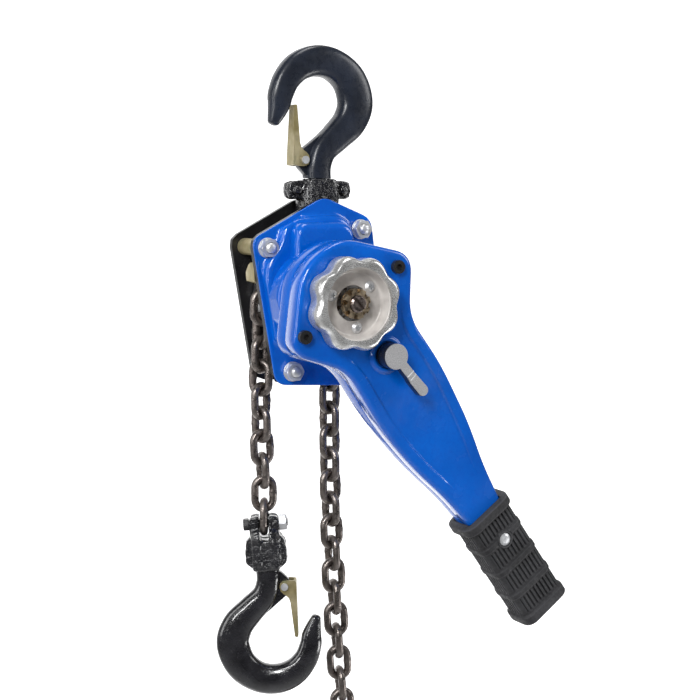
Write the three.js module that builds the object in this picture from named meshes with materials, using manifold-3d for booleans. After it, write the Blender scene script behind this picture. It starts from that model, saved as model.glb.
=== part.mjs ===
// Lever chain hoist, 0.75 t class, in millimetres, +Z up, lever side towards -Y.
// The origin is the saddle of the top hook, the point that the hoist hangs from.
// Inside the model, lengths are measured from the load sheave's centre (see `hoist`).

import * as THREE from 'three'
import { mergeVertices } from 'three/addons/utils/BufferGeometryUtils.js'
import Module from 'manifold-3d'

const wasm = await Module()
wasm.setup()

// ---------------------------------------------------------------- driving dimensions

const deg = THREE.MathUtils.degToRad

const GAP = 0.3                     // clearance between parts that touch

const LINK_PITCH = 18               // inner length of one chain link
const LINK_WIRE = 6
const LINK_WIDTH = 20               // over the outside of a link
const LINK_BITE = 0.2               // links of one strand are joined where they bear on each other
const STRAND_START = 1.5            // a strand's first link keeps clear of the last one on the sheave
const POCKETS = 5                   // links lying flat round the load sheave
const CHAIN_STEP = Math.PI / POCKETS
const CHAIN_RADIUS = LINK_PITCH / 2 / Math.sin(CHAIN_STEP / 2)
const CHAIN_APOTHEM = CHAIN_RADIUS * Math.cos(CHAIN_STEP / 2)
const STRAND_X = 29.5               // both strands leave the sheave at this distance
const LOAD_LINKS = 10
const SLACK_LINKS = 19
const HANK_LENGTH = 152
const HANK_WIDTH = 76
const HANK_DEPTH = 40

const PLATE_INSIDE = 17             // side plates: distance of the inner face from the centre
const PLATE_THICK = 4
const PLATE_OUTSIDE = PLATE_INSIDE + PLATE_THICK
const SHEET = 2                     // pressed covers and lever shells
const COVER_DEPTH = 48              // both covers end this far from the centre
const COVER_RADIUS = 38

const HOOK_X = 17                   // the top hook's shank, to the right of the sheave
const SADDLE_Z = 167
const NECK_Z = 90                   // where the hook's shank enters the yoke
const PIN_Z = 58                    // the pin that the frame swings on
const PIN_RADIUS = 5

const STUD_RADIUS = 4
const STAYS = [[-36.5, 38.2], [42, 51.3], [-16.3, -55]]
const STAY_NAMES = ['upper_left', 'upper_right', 'lower']
const STAY_SHOULDERS = [6.4, 6.4, 4.4]

const GEAR_MODULE = 1.5
const PINION_TEETH = 8
const DISC_TEETH = 26
const DISC_PINION_TEETH = 9
const LOAD_TEETH = 25
const GEAR_CENTRES = GEAR_MODULE * (PINION_TEETH + DISC_TEETH) / 2
const DISC_DIRECTION = deg(100)     // where the first disc gear lies round the pinion

const AXLE_END = 45.2               // the gears' axles end in blind bosses of the gear cover
const SHAFT_RADIUS = 8.5
const RATCHET_TEETH = 12
const RATCHET_RADIUS = 26
const PAWL_PIVOT = 31.5             // distance of the brake pawls' pins from the shaft
const PAWL_ANGLES = [deg(128), deg(308)]

const LEVER_ANGLE = deg(35.5)       // the lever hangs this far out from straight down
const LEVER_SHIFT = 3.5             // its centre line passes the shaft at this distance
const LEVER_REAR = -50
const LEVER_FRONT = -82
const LEVER_MIDDLE = (LEVER_REAR + LEVER_FRONT) / 2
const LEVER_LENGTH = 296
const LEVER_CROWN = [18.7, 42.3, 18] // the round top of its head: half width, height, corner
const LEVER_SCREWS = [[-46.2, 2], [43.7, -3]]
const GRIP_START = 207
const GRIP_END = 312
const GRIP_HALF = [21, 14.5]        // half width, half thickness
const GRIP_RIVET = 236
const SELECTOR_DOWN = 51            // selector shaft, along the lever
const SELECTOR_ARM = 39
const SELECTOR_REST = deg(5.5)      // the knob's arm at rest, off the lever's centre line

const WHEEL_RADIUS = 33.4
const WHEEL_LOBES = 8
const WHEEL_TURN = deg(18)          // where the first lobe stands
const WHEEL_SCREW_RADIUS = 18
const WHEEL_REAR = -83.5
const WHEEL_FRONT = -101
const WHEEL_FLOOR = -89

const BOTTOM_X = -STRAND_X            // bottom yoke, below the load strand
const BOTTOM_TURN = deg(-28.5)      // turned towards the front left
const BOTTOM_LEAN = deg(-4)
const CHAIN_BOLT_RADIUS = 3.2
const BOTTOM_BOLT_Z = STRAND_START - LINK_PITCH * LOAD_LINKS + LINK_BITE / 2 + CHAIN_BOLT_RADIUS + GAP
const BOTTOM_SCALE = [0.94, 0.94, 0.99] // size of the bottom hook against the top one
const BOTTOM_NECK = 36              // from the chain bolt down to the hook's neck

// ---------------------------------------------------------------- materials

function paint(colour, roughness, metalness) {
  return new THREE.MeshStandardMaterial({ color: colour, roughness, metalness })
}

const BLUE = paint(0x0048e0, 0.25, 0.1)
const BLACK = paint(0x101014, 0.35, 0.2)
const STEEL = paint(0x9a9b9c, 0.35, 0.9)
const CHAIN = paint(0x4d4642, 0.45, 0.85)
const ZINC = paint(0xc4c6c8, 0.3, 0.9)
const YELLOW_ZINC = paint(0xb9a468, 0.35, 0.8)
const CHROME = paint(0xd4d5d6, 0.18, 1)
const BRASS = paint(0x8e7a55, 0.4, 0.9)
const FRICTION = paint(0x5a4a3c, 0.9, 0)
const RUBBER = paint(0x2b2b2e, 0.85, 0)
const SILVER = paint(0xa9a9ab, 0.5, 0.6)

// ---------------------------------------------------------------- solids and booleans

function solid(geometry) {
  const bare = geometry.index ? geometry.toNonIndexed() : geometry.clone()
  bare.deleteAttribute('normal')
  bare.deleteAttribute('uv')
  const merged = mergeVertices(bare, 1e-4)
  const vertProperties = new Float32Array(merged.attributes.position.array)
  const triVerts = new Uint32Array(merged.index.array)
  const shape = new wasm.Manifold(new wasm.Mesh({ numProp: 3, vertProperties, triVerts }))
  // A profile or a path may run either way; the faces always end up pointing out.
  return shape.volume() > 0 ? shape : new wasm.Manifold(new wasm.Mesh({
    numProp: 3, vertProperties, triVerts: triVerts.slice().reverse(),
  }))
}

function join(...solids) {
  return solids.reduce((sum, next) => sum.add(next))
}

function mesh(name, shape, material) {
  const result = shape.getMesh()
  const geometry = new THREE.BufferGeometry()
  geometry.setAttribute('position', new THREE.BufferAttribute(new Float32Array(result.vertProperties), 3))
  geometry.setIndex(new THREE.BufferAttribute(new Uint32Array(result.triVerts), 1))
  const part = new THREE.Mesh(geometry, material)
  part.name = name
  return part
}

function place(shape, x, y, z) {
  return shape.translate([x, y, z])
}

// Turns a solid about the Y axis by an angle in radians; +Z goes towards +X.
function turn(shape, angle) {
  return shape.rotate([0, THREE.MathUtils.radToDeg(angle), 0])
}

function box(x0, x1, y0, y1, z0, z1) {
  const geometry = new THREE.BoxGeometry(x1 - x0, y1 - y0, z1 - z0)
  return solid(geometry.translate((x0 + x1) / 2, (y0 + y1) / 2, (z0 + z1) / 2))
}

// A round bar along Y.
function bar(radius, y0, y1, sides = 16) {
  return solid(new THREE.CylinderGeometry(radius, radius, y1 - y0, sides).translate(0, (y0 + y1) / 2, 0))
}

function ring(inner, outer, y0, y1, sides = 20) {
  return bar(outer, y0, y1, sides).subtract(bar(inner, y0 - 1, y1 + 1, sides))
}

// A round bar along Z.
function post(radius, z0, z1, sides = 16) {
  const geometry = new THREE.CylinderGeometry(radius, radius, z1 - z0, sides).rotateX(Math.PI / 2)
  return solid(geometry.translate(0, 0, (z0 + z1) / 2))
}

// A solid turned about the Y axis from [radius, y] points; it starts and ends on the axis.
function turned(profile, sides = 20) {
  const points = profile.map(([radius, y]) => new THREE.Vector2(radius, y))
  return solid(new THREE.LatheGeometry(points, sides))
}

// An outline of [x, z, corner] points; each corner is rounded over that length of its edges.
function outline(corners) {
  const shape = new THREE.Shape()
  corners.forEach(([x, z, corner = 0], index) => {
    const here = new THREE.Vector2(x, z)
    const toBefore = new THREE.Vector2(...corners.at(index - 1)).sub(here)
    const toAfter = new THREE.Vector2(...corners[(index + 1) % corners.length]).sub(here)
    const reach = Math.min(corner, 0.45 * toBefore.length(), 0.45 * toAfter.length())
    const start = here.clone().add(toBefore.setLength(reach))
    const end = here.clone().add(toAfter.setLength(reach))
    if (index === 0) shape.moveTo(start.x, start.y)
    else shape.lineTo(start.x, start.y)
    if (corner > 0) shape.quadraticCurveTo(x, z, end.x, end.y)
  })
  shape.closePath()
  return shape
}

// A plate with an XZ outline, between two Y values; a bevel chamfers the edges of both faces.
function plate(shape, y0, y1, bevel = 0, curveSegments = 2) {
  const geometry = new THREE.ExtrudeGeometry(shape, {
    depth: y1 - y0 - 2 * bevel,
    bevelEnabled: bevel > 0,
    bevelThickness: bevel,
    bevelSize: bevel,
    bevelOffset: -bevel,
    bevelSegments: 1,
    curveSegments,
  })
  return solid(geometry.rotateX(Math.PI / 2).translate(0, y1 - bevel, 0))
}

// A prism with a rounded rectangle as its section, standing along Z.
function prism(halfX, halfY, corner, z0, z1) {
  const section = outline([
    [-halfX, -halfY, corner], [halfX, -halfY, corner], [halfX, halfY, corner], [-halfX, halfY, corner],
  ])
  const geometry = new THREE.ExtrudeGeometry(section, { depth: z1 - z0, bevelEnabled: false, curveSegments: 2 })
  return solid(geometry.translate(0, 0, z0))
}

function hexagon(radius, y0, y1) {
  return bar(radius, y0, y1, 6)
}

// A (y, z) section extruded along X, far past both sides of the part that it is cut with.
function alongX(section) {
  const shape = new THREE.Shape(section.map(([y, z]) => new THREE.Vector2(y, z)))
  const geometry = new THREE.ExtrudeGeometry(shape, { depth: 160, bevelEnabled: false })
  geometry.translate(0, 0, -80)
  geometry.applyMatrix4(new THREE.Matrix4().makeBasis(
    new THREE.Vector3(0, 1, 0), new THREE.Vector3(0, 0, 1), new THREE.Vector3(1, 0, 0)))
  return solid(geometry)
}

// A coil spring along Y.
function coil(radius, wire, y0, y1, turns) {
  class Helix extends THREE.Curve {
    getPoint(t, target = new THREE.Vector3()) {
      const angle = t * turns * 2 * Math.PI
      return target.set(radius * Math.cos(angle), y0 + (y1 - y0) * t, radius * Math.sin(angle))
    }
  }
  const section = new THREE.Shape().absarc(0, 0, wire, 0, 2 * Math.PI)
  const steps = Math.round(turns * 10)
  return solid(new THREE.ExtrudeGeometry(section, { extrudePath: new Helix(), steps, curveSegments: 3 }))
}

// ---------------------------------------------------------------- chain

// One link in the XZ plane with its length along Z, from a torus stretched into a long loop.
function link() {
  const wire = LINK_WIRE / 2
  const bend = LINK_WIDTH / 2 - wire
  const straight = (LINK_PITCH - LINK_BITE) / 2 + wire - bend
  const geometry = new THREE.TorusGeometry(bend, wire, 5, 8).rotateX(Math.PI / 2)
  const place = geometry.attributes.position
  for (let i = 0; i < place.count; i++) {
    const z = place.getZ(i)
    if (Math.abs(z) > 1e-6) place.setZ(i, z + Math.sign(z) * straight)
  }
  return solid(geometry)
}

// A link turned by `yaw` about its own length, leaned in the XZ plane and moved to its place.
function placedLink(x, z, yaw, lean) {
  return place(turn(link().rotate([0, 0, THREE.MathUtils.radToDeg(yaw)]), lean), x, 0, z)
}

function loadStrandX(z) {
  return -STRAND_X - 2.2 * Math.sin(Math.PI * Math.min(-z, 150) / 150)
}

function slackStrandX(z) {
  return STRAND_X + 0.0403 * z + 0.000209 * z * z
}

// Every second link lies flat. The twist turns the strand slowly about its own length.
function strand(links, strandX, twist) {
  const shapes = []
  for (let k = 0; k < links; k++) {
    const z = STRAND_START - LINK_PITCH * (k + 0.5)
    const lean = Math.atan2(strandX(z + 1) - strandX(z - 1), 2)
    shapes.push(placedLink(strandX(z), z, (k % 2) * Math.PI / 2 + twist(k), lean))
  }
  return join(...shapes)
}

function loadTwist(k) {
  return k < 3 ? deg(12) * k : deg(36 - 10.75 * (k - 3))
}

function slackTwist(k) {
  return deg(16) * Math.sin(k * Math.PI / 11)
}

function sheaveLinks() {
  const shapes = []
  for (let k = 0; k < POCKETS; k++) {
    const angle = Math.PI - CHAIN_STEP * (k + 0.5)
    const lean = Math.PI - angle
    const yaw = k % 2 === 0 ? Math.PI / 2 : 0
    shapes.push(placedLink(CHAIN_APOTHEM * Math.cos(angle), CHAIN_APOTHEM * Math.sin(angle), yaw, lean))
  }
  return join(...shapes)
}

function hankTop() {
  return STRAND_START - LINK_PITCH * SLACK_LINKS - LINK_WIRE - GAP
}

function hank() {
  const top = hankTop()
  return place(prism(HANK_WIDTH / 2, HANK_DEPTH / 2, 10, top - HANK_LENGTH, top), slackStrandX(top), 0, 0)
}

// ---------------------------------------------------------------- hooks

// Along the hook, from the neck round to the tip: x, z from the shank and saddle, half width, half thickness.
const HOOK_STATIONS = [
  [0, NECK_Z - SADDLE_Z, 9.9, 9.9],
  [0.3, -67, 9.9, 9.8],
  [5, -55.5, 10.3, 9.3],
  [17, -44.5, 11.4, 9],
  [28.5, -33, 13, 9],
  [33.5, -18.5, 13.8, 9],
  [28, -1.5, 13.2, 9],
  [14.5, 9.3, 12.2, 9],
  [-1, 11.9, 11.8, 9],
  [-15.5, 7.3, 11, 8.8],
  [-26, -3, 9.7, 8.4],
  [-30.8, -16, 9, 7.6],
  [-31.4, -22, 8.7, 7.2],
  [-34.2, -28.5, 6.3, 6.2],
  [-37.2, -33.5, 4, 4.6],
  [-38.6, -36.8, 1.5, 2],
]

// The hook's forging: a rounded section swept through the stations.
function hookForging() {
  const path = new THREE.CatmullRomCurve3(HOOK_STATIONS.map(([x, z]) => new THREE.Vector3(x, 0, z)))
  const size = new THREE.CatmullRomCurve3(HOOK_STATIONS.map(([, , a, b]) => new THREE.Vector3(a, b, 0)))
  const steps = 20
  const geometry = new THREE.CylinderGeometry(1, 1, 1, 10, steps)
  const points = geometry.attributes.position
  for (let i = 0; i < points.count; i++) {
    const t = points.getY(i) + 0.5
    const centre = path.getPoint(t)
    const along = path.getTangent(t)
    const half = size.getPoint(t)
    const across = points.getX(i) * half.x
    points.setXYZ(i, centre.x - along.z * across, points.getZ(i) * half.y, centre.z + along.x * across)
  }
  return solid(geometry)
}

// The shank and its collar turn inside the yoke. z is measured from the neck, downwards.
const SHANK = { radius: 7, collarRadius: 9.5, collarStart: 12, collarEnd: 18 }

function hookShank(neck) {
  const { radius, collarRadius, collarStart, collarEnd } = SHANK
  return join(post(radius, neck - collarEnd, neck + 1), post(collarRadius, neck - collarEnd, neck - collarStart))
}

// The room that a yoke leaves round the shank and its collar.
function shankRoom(neck) {
  const { radius, collarRadius, collarStart, collarEnd } = SHANK
  return join(
    post(radius + GAP, neck - collarEnd, neck + 5),
    post(collarRadius + GAP, neck - collarEnd - GAP, neck - collarStart + GAP),
  )
}

// A flat boss on the throat side of the neck carries the latch.
const LATCH_PIVOT = [-13.1, -63.1]
const LATCH_BOSS_HALF = 3.5
const LATCH_HALF = 6                // half width of the latch at its rivet, and past its tip
const LATCH_TIP_HALF = 3.4

function hook() {
  const [x, z] = LATCH_PIVOT
  const boss = plate(outline([
    [x - 4.5, z + 5, 3], [5, z + 22, 2], [6, z - 10, 2], [x + 3, z - 12, 2], [x - 4.5, z - 4.5, 3],
  ]), -LATCH_BOSS_HALF, LATCH_BOSS_HALF)
  const pinHole = place(bar(1.9, -20, 20, 12), x, 0, z)
  return join(hookForging(), boss).subtract(pinHole).add(hookShank(NECK_Z - SADDLE_Z))
}

// The latch: a pressed channel with two cheeks beside the boss and a tongue up to the hook's tip.
function latch() {
  const [x, z] = LATCH_PIVOT
  const side = outline([
    [x - 9.8, z - 4, 1], [x - 2, z - 5, 3], [x + 4, z - 3.6, 3], [x + 4, z + 4, 3],
    [x - 3.6, z + 9, 4], [x - 5.4, z + 41.5, 1], [x - 8.2, z + 41.5, 1],
  ])
  const hollow = outline([
    [x - 8.4, z - 9], [x + 9, z - 9], [x + 9, z + 50], [x - 6.8, z + 50],
  ])
  const taper = (inset) => alongX([
    [-LATCH_HALF + inset, z - 9], [LATCH_HALF - inset, z - 9], [LATCH_HALF - inset, z + 6],
    [LATCH_TIP_HALF - inset, z + 50], [-LATCH_TIP_HALF + inset, z + 50], [-LATCH_HALF + inset, z + 6],
  ])
  const body = plate(side, -LATCH_HALF, LATCH_HALF).intersect(taper(0))
  const inside = plate(hollow, -LATCH_HALF, LATCH_HALF).intersect(taper(1.4))
  return body.subtract(inside).subtract(place(bar(2.1, -20, 20, 12), x, 0, z))
}

function latchRivet() {
  const [x, z] = LATCH_PIVOT
  const end = LATCH_HALF + GAP
  return place(join(bar(1.6, -end, end, 12), bar(3, -end - 1.4, -end, 14), bar(3, end, end + 1.4, 14)), x, 0, z)
}

// ---------------------------------------------------------------- top yoke

const TOP_YOKE = { ear: 19.7, earZ: 81, earRadius: 7, earThick: 6, bulge: 13, foot: 46 }

function topYokeHalf(side) {
  const { ear, earZ, earRadius, earThick, bulge, foot } = TOP_YOKE
  const layer = (shape, depth, bevel = 0) => side > 0
    ? plate(shape, GAP / 2, depth, bevel)
    : plate(shape, -depth, -GAP / 2, bevel)
  const ears = [-1, 1].map((hand) => layer(outline([
    [hand * (ear + earRadius), earZ + earRadius, 5], [0, earZ + earRadius + 1, 2],
    [0, earZ - earRadius, 2], [hand * (ear + earRadius), earZ - earRadius, 5],
  ]), earThick, 0))
  const head = layer(outline([
    [-12, NECK_Z - GAP, 3], [12, NECK_Z - GAP, 3], [12, 62, 3], [-12, 62, 3],
  ]), bulge, 1.2)
  const trunk = layer(outline([
    [-14.5, 84, 2], [14.5, 84, 2], [14.5, 62, 6], [9, foot, 8], [-9, foot, 8], [-14.5, 62, 6],
  ]), 9.5, 0)
  const room = shankRoom(NECK_Z)
  const holes = join(
    place(bar(PIN_RADIUS + GAP, -30, 30), 0, 0, PIN_Z),
    ...[-1, 1].map((hand) => place(bar(3.3, -30, 30, 14), hand * ear, 0, earZ)),
  )
  return join(...ears, head, trunk).subtract(room).subtract(holes)
}

function domedRivet(shankRadius, headRadius, half, headHeight) {
  return turned([
    [0, -half - headHeight], [headRadius * 0.6, -half - headHeight * 0.85], [headRadius, -half],
    [shankRadius, -half], [shankRadius, half], [headRadius, half],
    [headRadius * 0.6, half + headHeight * 0.85], [0, half + headHeight],
  ], 14)
}

function topYokeRivet(hand) {
  const { ear, earZ, earThick } = TOP_YOKE
  return place(domedRivet(3, 4.6, earThick + GAP, 2.6), hand * ear, 0, earZ)
}

// ---------------------------------------------------------------- frame

// The outline of the side plates and of both covers' flanges.
function frameOutline() {
  return outline([
    [-48.5, 44.6, 7], [11, 76, 7], [52, 59.6, 8], [56, 30, 12], [37.5, -69, 10], [-29.6, -64.9, 9],
  ])
}

function stayHoles(radius) {
  return join(...STAYS.map(([x, z]) => place(bar(radius, -60, 60, 14), x, 0, z)))
}

// The front plate carries the studs of the brake pawls, the rear one the holes of the disc gears.
function sidePlate(side) {
  const y = side > 0 ? [PLATE_INSIDE, PLATE_OUTSIDE] : [-PLATE_OUTSIDE, -PLATE_INSIDE]
  let shape = plate(frameOutline(), ...y)
    .subtract(bar(22, -60, 60, 28))
    .subtract(stayHoles(STUD_RADIUS + GAP))
    .subtract(place(bar(PIN_RADIUS + GAP, -60, 60), HOOK_X, 0, PIN_Z))
  if (side > 0) {
    for (const angle of [DISC_DIRECTION, DISC_DIRECTION + Math.PI]) {
      const [x, z] = [GEAR_CENTRES * Math.cos(angle), GEAR_CENTRES * Math.sin(angle)]
      shape = shape.subtract(place(bar(3.3, -60, 60, 16), x, 0, z))
    }
  } else {
    for (const [x, z] of pawlPlaces()) shape = shape.add(place(bar(2.3, -36.5, -PLATE_INSIDE - 1, 14), x, 0, z))
  }
  return shape
}

function sheaveBearing(side) {
  const front = ring(17.3, 21.7, -20.7, -17.3)
  return side < 0 ? front : front.mirror([0, 1, 0])
}

// A shouldered stay with a hexagon head at the rear and a domed thread end at the front.
function stay([x, z], shoulder) {
  const end = 33
  const inside = PLATE_INSIDE - GAP
  const head = PLATE_OUTSIDE + SHEET + 2 * GAP
  const rod = turned([
    [0, -end], [2.6, -end + 0.5], [STUD_RADIUS, -end + 2], [STUD_RADIUS, -inside],
    [shoulder, -inside], [shoulder, inside], [STUD_RADIUS, inside], [STUD_RADIUS, head], [0, head + 1],
  ], 16)
  return place(rod.add(hexagon(7.4, head, head + 5.5)), x, 0, z)
}

function stayNut([x, z]) {
  const start = -PLATE_OUTSIDE - SHEET - 2 * GAP
  const nut = join(hexagon(7.4, start - 6.5, start - 1), bar(7.6, start - 1.2, start, 16))
  return place(nut.subtract(bar(STUD_RADIUS + GAP, -60, 0, 16)), x, 0, z)
}

// A sheet bracket at the load side keeps the links on the sheave.
function chainGuide() {
  const half = PLATE_INSIDE - GAP
  return join(box(-44.5, -42.5, -half, half, 17, 30), box(-42.6, -38.5, -half, half, 28, 30))
}

// ---------------------------------------------------------------- load sheave and gears

// A spur gear with straight-flanked teeth and running play; `phase` turns a tooth to that direction.
function gear(teeth, y0, y1, phase) {
  const pitch = GEAR_MODULE * teeth / 2
  const tip = pitch + 0.85 * GEAR_MODULE
  const root = pitch - 1.25 * GEAR_MODULE
  const corners = []
  for (let k = 0; k < teeth; k++) {
    const centre = phase + k * 2 * Math.PI / teeth
    for (const [radius, half] of [[root, -1.35], [tip, -0.42], [tip, 0.42], [root, 1.35]]) {
      const angle = centre + half / radius
      corners.push([radius * Math.cos(angle), radius * Math.sin(angle)])
    }
  }
  return plate(outline(corners), y0, y1)
}

function loadSheave() {
  const body = turned([
    [9.5, -20.7], [17, -20.7], [17, -15.8], [31, -15.5], [31.5, -9], [29.5, -4.5], [17.3, -3.5], [17.3, 3.5],
    [29.5, 4.5], [31.5, 9], [31, 15.5], [17, 15.8], [17, 20.7], [13, 20.7], [13, 31.9], [12.2, 31.9],
    [12.2, 33.1], [13, 33.1], [13, 34.5], [9.5, 34.5], [9.5, -20.7],
  ])
  let shape = body
  for (let k = 0; k < POCKETS; k++) {
    const pocket = place(prism(15.6, 10.4, 6, 0, 20), 0, 0, 24.3)
    shape = shape.subtract(turn(pocket, 2 * CHAIN_STEP * k))
  }
  return shape
}

function loadGear() {
  return gear(LOAD_TEETH, 23.6, 31.6, DISC_DIRECTION).subtract(bar(13.6, 0, 60, 20))
}

function discGear(direction, pinionPhase) {
  const inward = direction + Math.PI
  const wheel = gear(DISC_TEETH, 36.5, 42.5, inward + Math.PI / DISC_TEETH)
  const pinion = gear(DISC_PINION_TEETH, 23.6, 36.6, inward + pinionPhase)
  const axle = join(bar(3, 17.3, 24, 14), bar(3, 42, AXLE_END, 14))
  return place(join(wheel, pinion, axle), GEAR_CENTRES * Math.cos(direction), 0, GEAR_CENTRES * Math.sin(direction))
}

function pinionShaft() {
  const shaft = turned([
    [0, -99], [5, -99], [6.2, -98], [6.2, -86], [7, -85], [7, -70], [SHAFT_RADIUS, -69],
    [SHAFT_RADIUS, 35], [4, 35.5], [4, AXLE_END], [0, AXLE_END],
  ])
  const slot = box(-1.2, 1.2, -110, -96.5, -10, 10)
  return join(shaft, gear(PINION_TEETH, 35.2, 43, DISC_DIRECTION)).subtract(turn(slot, deg(-40)))
}

// ---------------------------------------------------------------- covers

function capsuleOutline(radius) {
  const reach = GEAR_CENTRES
  const shape = new THREE.Shape()
  const [x, z] = [reach * Math.cos(DISC_DIRECTION), reach * Math.sin(DISC_DIRECTION)]
  shape.absarc(x, z, radius, DISC_DIRECTION - Math.PI / 2, DISC_DIRECTION + Math.PI / 2)
  shape.absarc(-x, -z, radius, DISC_DIRECTION + Math.PI / 2, DISC_DIRECTION + 1.5 * Math.PI)
  shape.closePath()
  return shape
}

function gearCover() {
  const flange = plate(frameOutline(), PLATE_OUTSIDE + GAP, PLATE_OUTSIDE + GAP + SHEET)
  const dome = plate(capsuleOutline(25.2), PLATE_OUTSIDE + GAP, COVER_DEPTH, 2, 7)
  const hollow = plate(capsuleOutline(23.2), 0, COVER_DEPTH - SHEET, 0, 7)
  let shape = join(flange, dome).subtract(hollow).subtract(stayHoles(STUD_RADIUS + GAP))
  const [x, z] = [GEAR_CENTRES * Math.cos(DISC_DIRECTION), GEAR_CENTRES * Math.sin(DISC_DIRECTION)]
  for (const [px, pz, radius] of [[0, 0, 4.4], [x, z, 3.3], [-x, -z, 3.3]]) {
    shape = shape.add(place(bar(radius + 2.5, 43.3, 47, 16), px, 0, pz))
    shape = shape.subtract(place(bar(radius, 40, AXLE_END + GAP, 16), px, 0, pz))
  }
  return shape
}

function brakeCover() {
  const back = -PLATE_OUTSIDE - GAP
  const flange = plate(frameOutline(), back - SHEET, back)
  const dome = turned([
    [0, back], [COVER_RADIUS + 3, back], [COVER_RADIUS + 3, back - SHEET], [COVER_RADIUS + 1, -30],
    [COVER_RADIUS, -42], [COVER_RADIUS - 4, -47], [COVER_RADIUS - 7, -COVER_DEPTH], [0, -COVER_DEPTH],
  ], 28)
  const hollow = turned([
    [0, back + 5], [COVER_RADIUS + 1, back + 5], [COVER_RADIUS + 1, back - SHEET], [COVER_RADIUS - 1, -30],
    [COVER_RADIUS - 2, -41], [COVER_RADIUS - 6, -45], [COVER_RADIUS - 8, -46], [0, -46],
  ], 28)
  const collar = bar(15.6, -52.5, -47, 24)
  return join(flange, dome)
    .subtract(hollow)
    .add(collar)
    .subtract(bar(13.5, -60, -40, 24))
    .subtract(stayHoles(STUD_RADIUS + GAP))
}

// ---------------------------------------------------------------- brake

function discHub() {
  return turned([
    [8.8, -23.8], [22, -23.8], [22, -26.6], [11.4, -26.6], [11.4, -38.5], [8.8, -38.5], [8.8, -23.8],
  ])
}

function frictionDisc(y0, y1) {
  return ring(12, 21.5, y0, y1)
}

function ratchetDisc() {
  const corners = []
  for (let k = 0; k < RATCHET_TEETH; k++) {
    const start = k * 2 * Math.PI / RATCHET_TEETH
    const step = 2 * Math.PI / RATCHET_TEETH
    for (const [radius, part] of [[22.5, 0], [RATCHET_RADIUS, 0.02], [RATCHET_RADIUS, 0.25], [22.5, 0.92]]) {
      corners.push([radius * Math.cos(start + part * step), radius * Math.sin(start + part * step)])
    }
  }
  return plate(outline(corners), -33.7, -29.7).subtract(bar(12, -60, 0, 20))
}

function changeGear() {
  const hub = turned([
    [8.8, -38.8], [11.8, -38.8], [11.8, -36.8], [21.5, -36.8], [21.5, -41], [13, -41], [13, -68],
    [8.8, -68], [8.8, -38.8],
  ])
  const teeth = []
  for (let k = 0; k < RATCHET_TEETH; k++) {
    const centre = k * 2 * Math.PI / RATCHET_TEETH
    for (const [radius, half] of [[13, -0.2], [17, -0.1], [17, 0.1], [13, 0.2]]) {
      teeth.push([radius * Math.cos(centre + half), radius * Math.sin(centre + half)])
    }
  }
  return hub.add(plate(outline(teeth), -68, -56).subtract(bar(12, -70, -50)))
}

function pawlPlaces() {
  return PAWL_ANGLES.map((angle) => [PAWL_PIVOT * Math.cos(angle), PAWL_PIVOT * Math.sin(angle)])
}

// A brake pawl lying along the ratchet's rim, resting just clear of the tooth tips.
function brakePawl(angle) {
  const body = plate(outline([
    [-4.2, -3, 3], [3.5, -4, 3], [4, 3, 3], [0.5, 9, 4], [-3.5, 15.5, 1.5], [-8.3, 13, 0.5], [-4.9, 5, 3],
  ]), -33.5, -29.9)
  const shape = body.subtract(bar(2.6, -60, 0, 14))
  return place(turn(shape, -angle), PAWL_PIVOT * Math.cos(angle), 0, PAWL_PIVOT * Math.sin(angle))
}

// ---------------------------------------------------------------- lever

// Half of the lever's outline: [half width, distance down the lever, corner].
const LEVER_SIDE = [
  [61, 4, 10], [32.5, 41, 12], [34.5, 96, 20], [29.5, 140, 20], [21, 177, 20], [17.3, 206, 10],
  [15, 225, 6], [15, LEVER_LENGTH, 4],
]

function leverOutline(inset) {
  const right = LEVER_SIDE.map(([half, down, corner]) => [
    half - inset, -Math.min(down, LEVER_LENGTH - inset), corner,
  ])
  const left = right.map(([x, z, corner]) => [-x, z, corner]).reverse()
  const [half, height, corner] = LEVER_CROWN
  const crown = [[-half + 0.44 * inset, height - inset, corner], [half - 0.44 * inset, height - inset, corner]]
  return outline([...crown, ...right, ...left])
}

// The lever seen from its side: full depth at the head, thinner along the neck and inside the grip.
function leverDepth(inset) {
  const steps = [[LEVER_REAR, -80], [LEVER_REAR, 62], [LEVER_REAR - 4, 120], [LEVER_REAR - 4.5, 200],
    [LEVER_REAR - 5, 320]]
  const rear = steps.map(([y, down]) => [y - inset, -down])
  const front = steps.map(([y, down]) => [2 * LEVER_MIDDLE - y + inset, -down]).reverse()
  return alongX([...rear, ...front])
}

function leverBody(inset) {
  return plate(leverOutline(inset), LEVER_FRONT, LEVER_REAR, inset > 0 ? 0 : 3).intersect(leverDepth(inset))
}

// The inner shell has threaded bosses for the screws that hold the two shells together.
function leverShell(side) {
  const split = side > 0
    ? box(-100, 100, LEVER_MIDDLE + GAP / 2, 0, -400, 100)
    : box(-100, 100, -100, LEVER_MIDDLE - GAP / 2, -400, 100)
  let shape = leverBody(0).subtract(leverBody(SHEET)).intersect(split)
  for (const [x, z] of LEVER_SCREWS) {
    if (side > 0) shape = shape.add(place(bar(6, LEVER_MIDDLE + 2, LEVER_REAR - 1, 16), x, 0, z))
    shape = shape.subtract(place(bar(3.2, -100, LEVER_REAR - SHEET, 14), x, 0, z))
  }
  shape = shape.subtract(place(bar(3.8, -100, 0, 14), 0, 0, -GRIP_RIVET))
  if (side < 0) shape = shape.subtract(place(bar(4.4, -100, 0, 16), 0, 0, -SELECTOR_DOWN))
  const bore = side > 0 ? 16 : 22.5
  return shape.subtract(place(bar(bore, -100, 0, 24), -LEVER_SHIFT, 0, 0))
}

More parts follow.
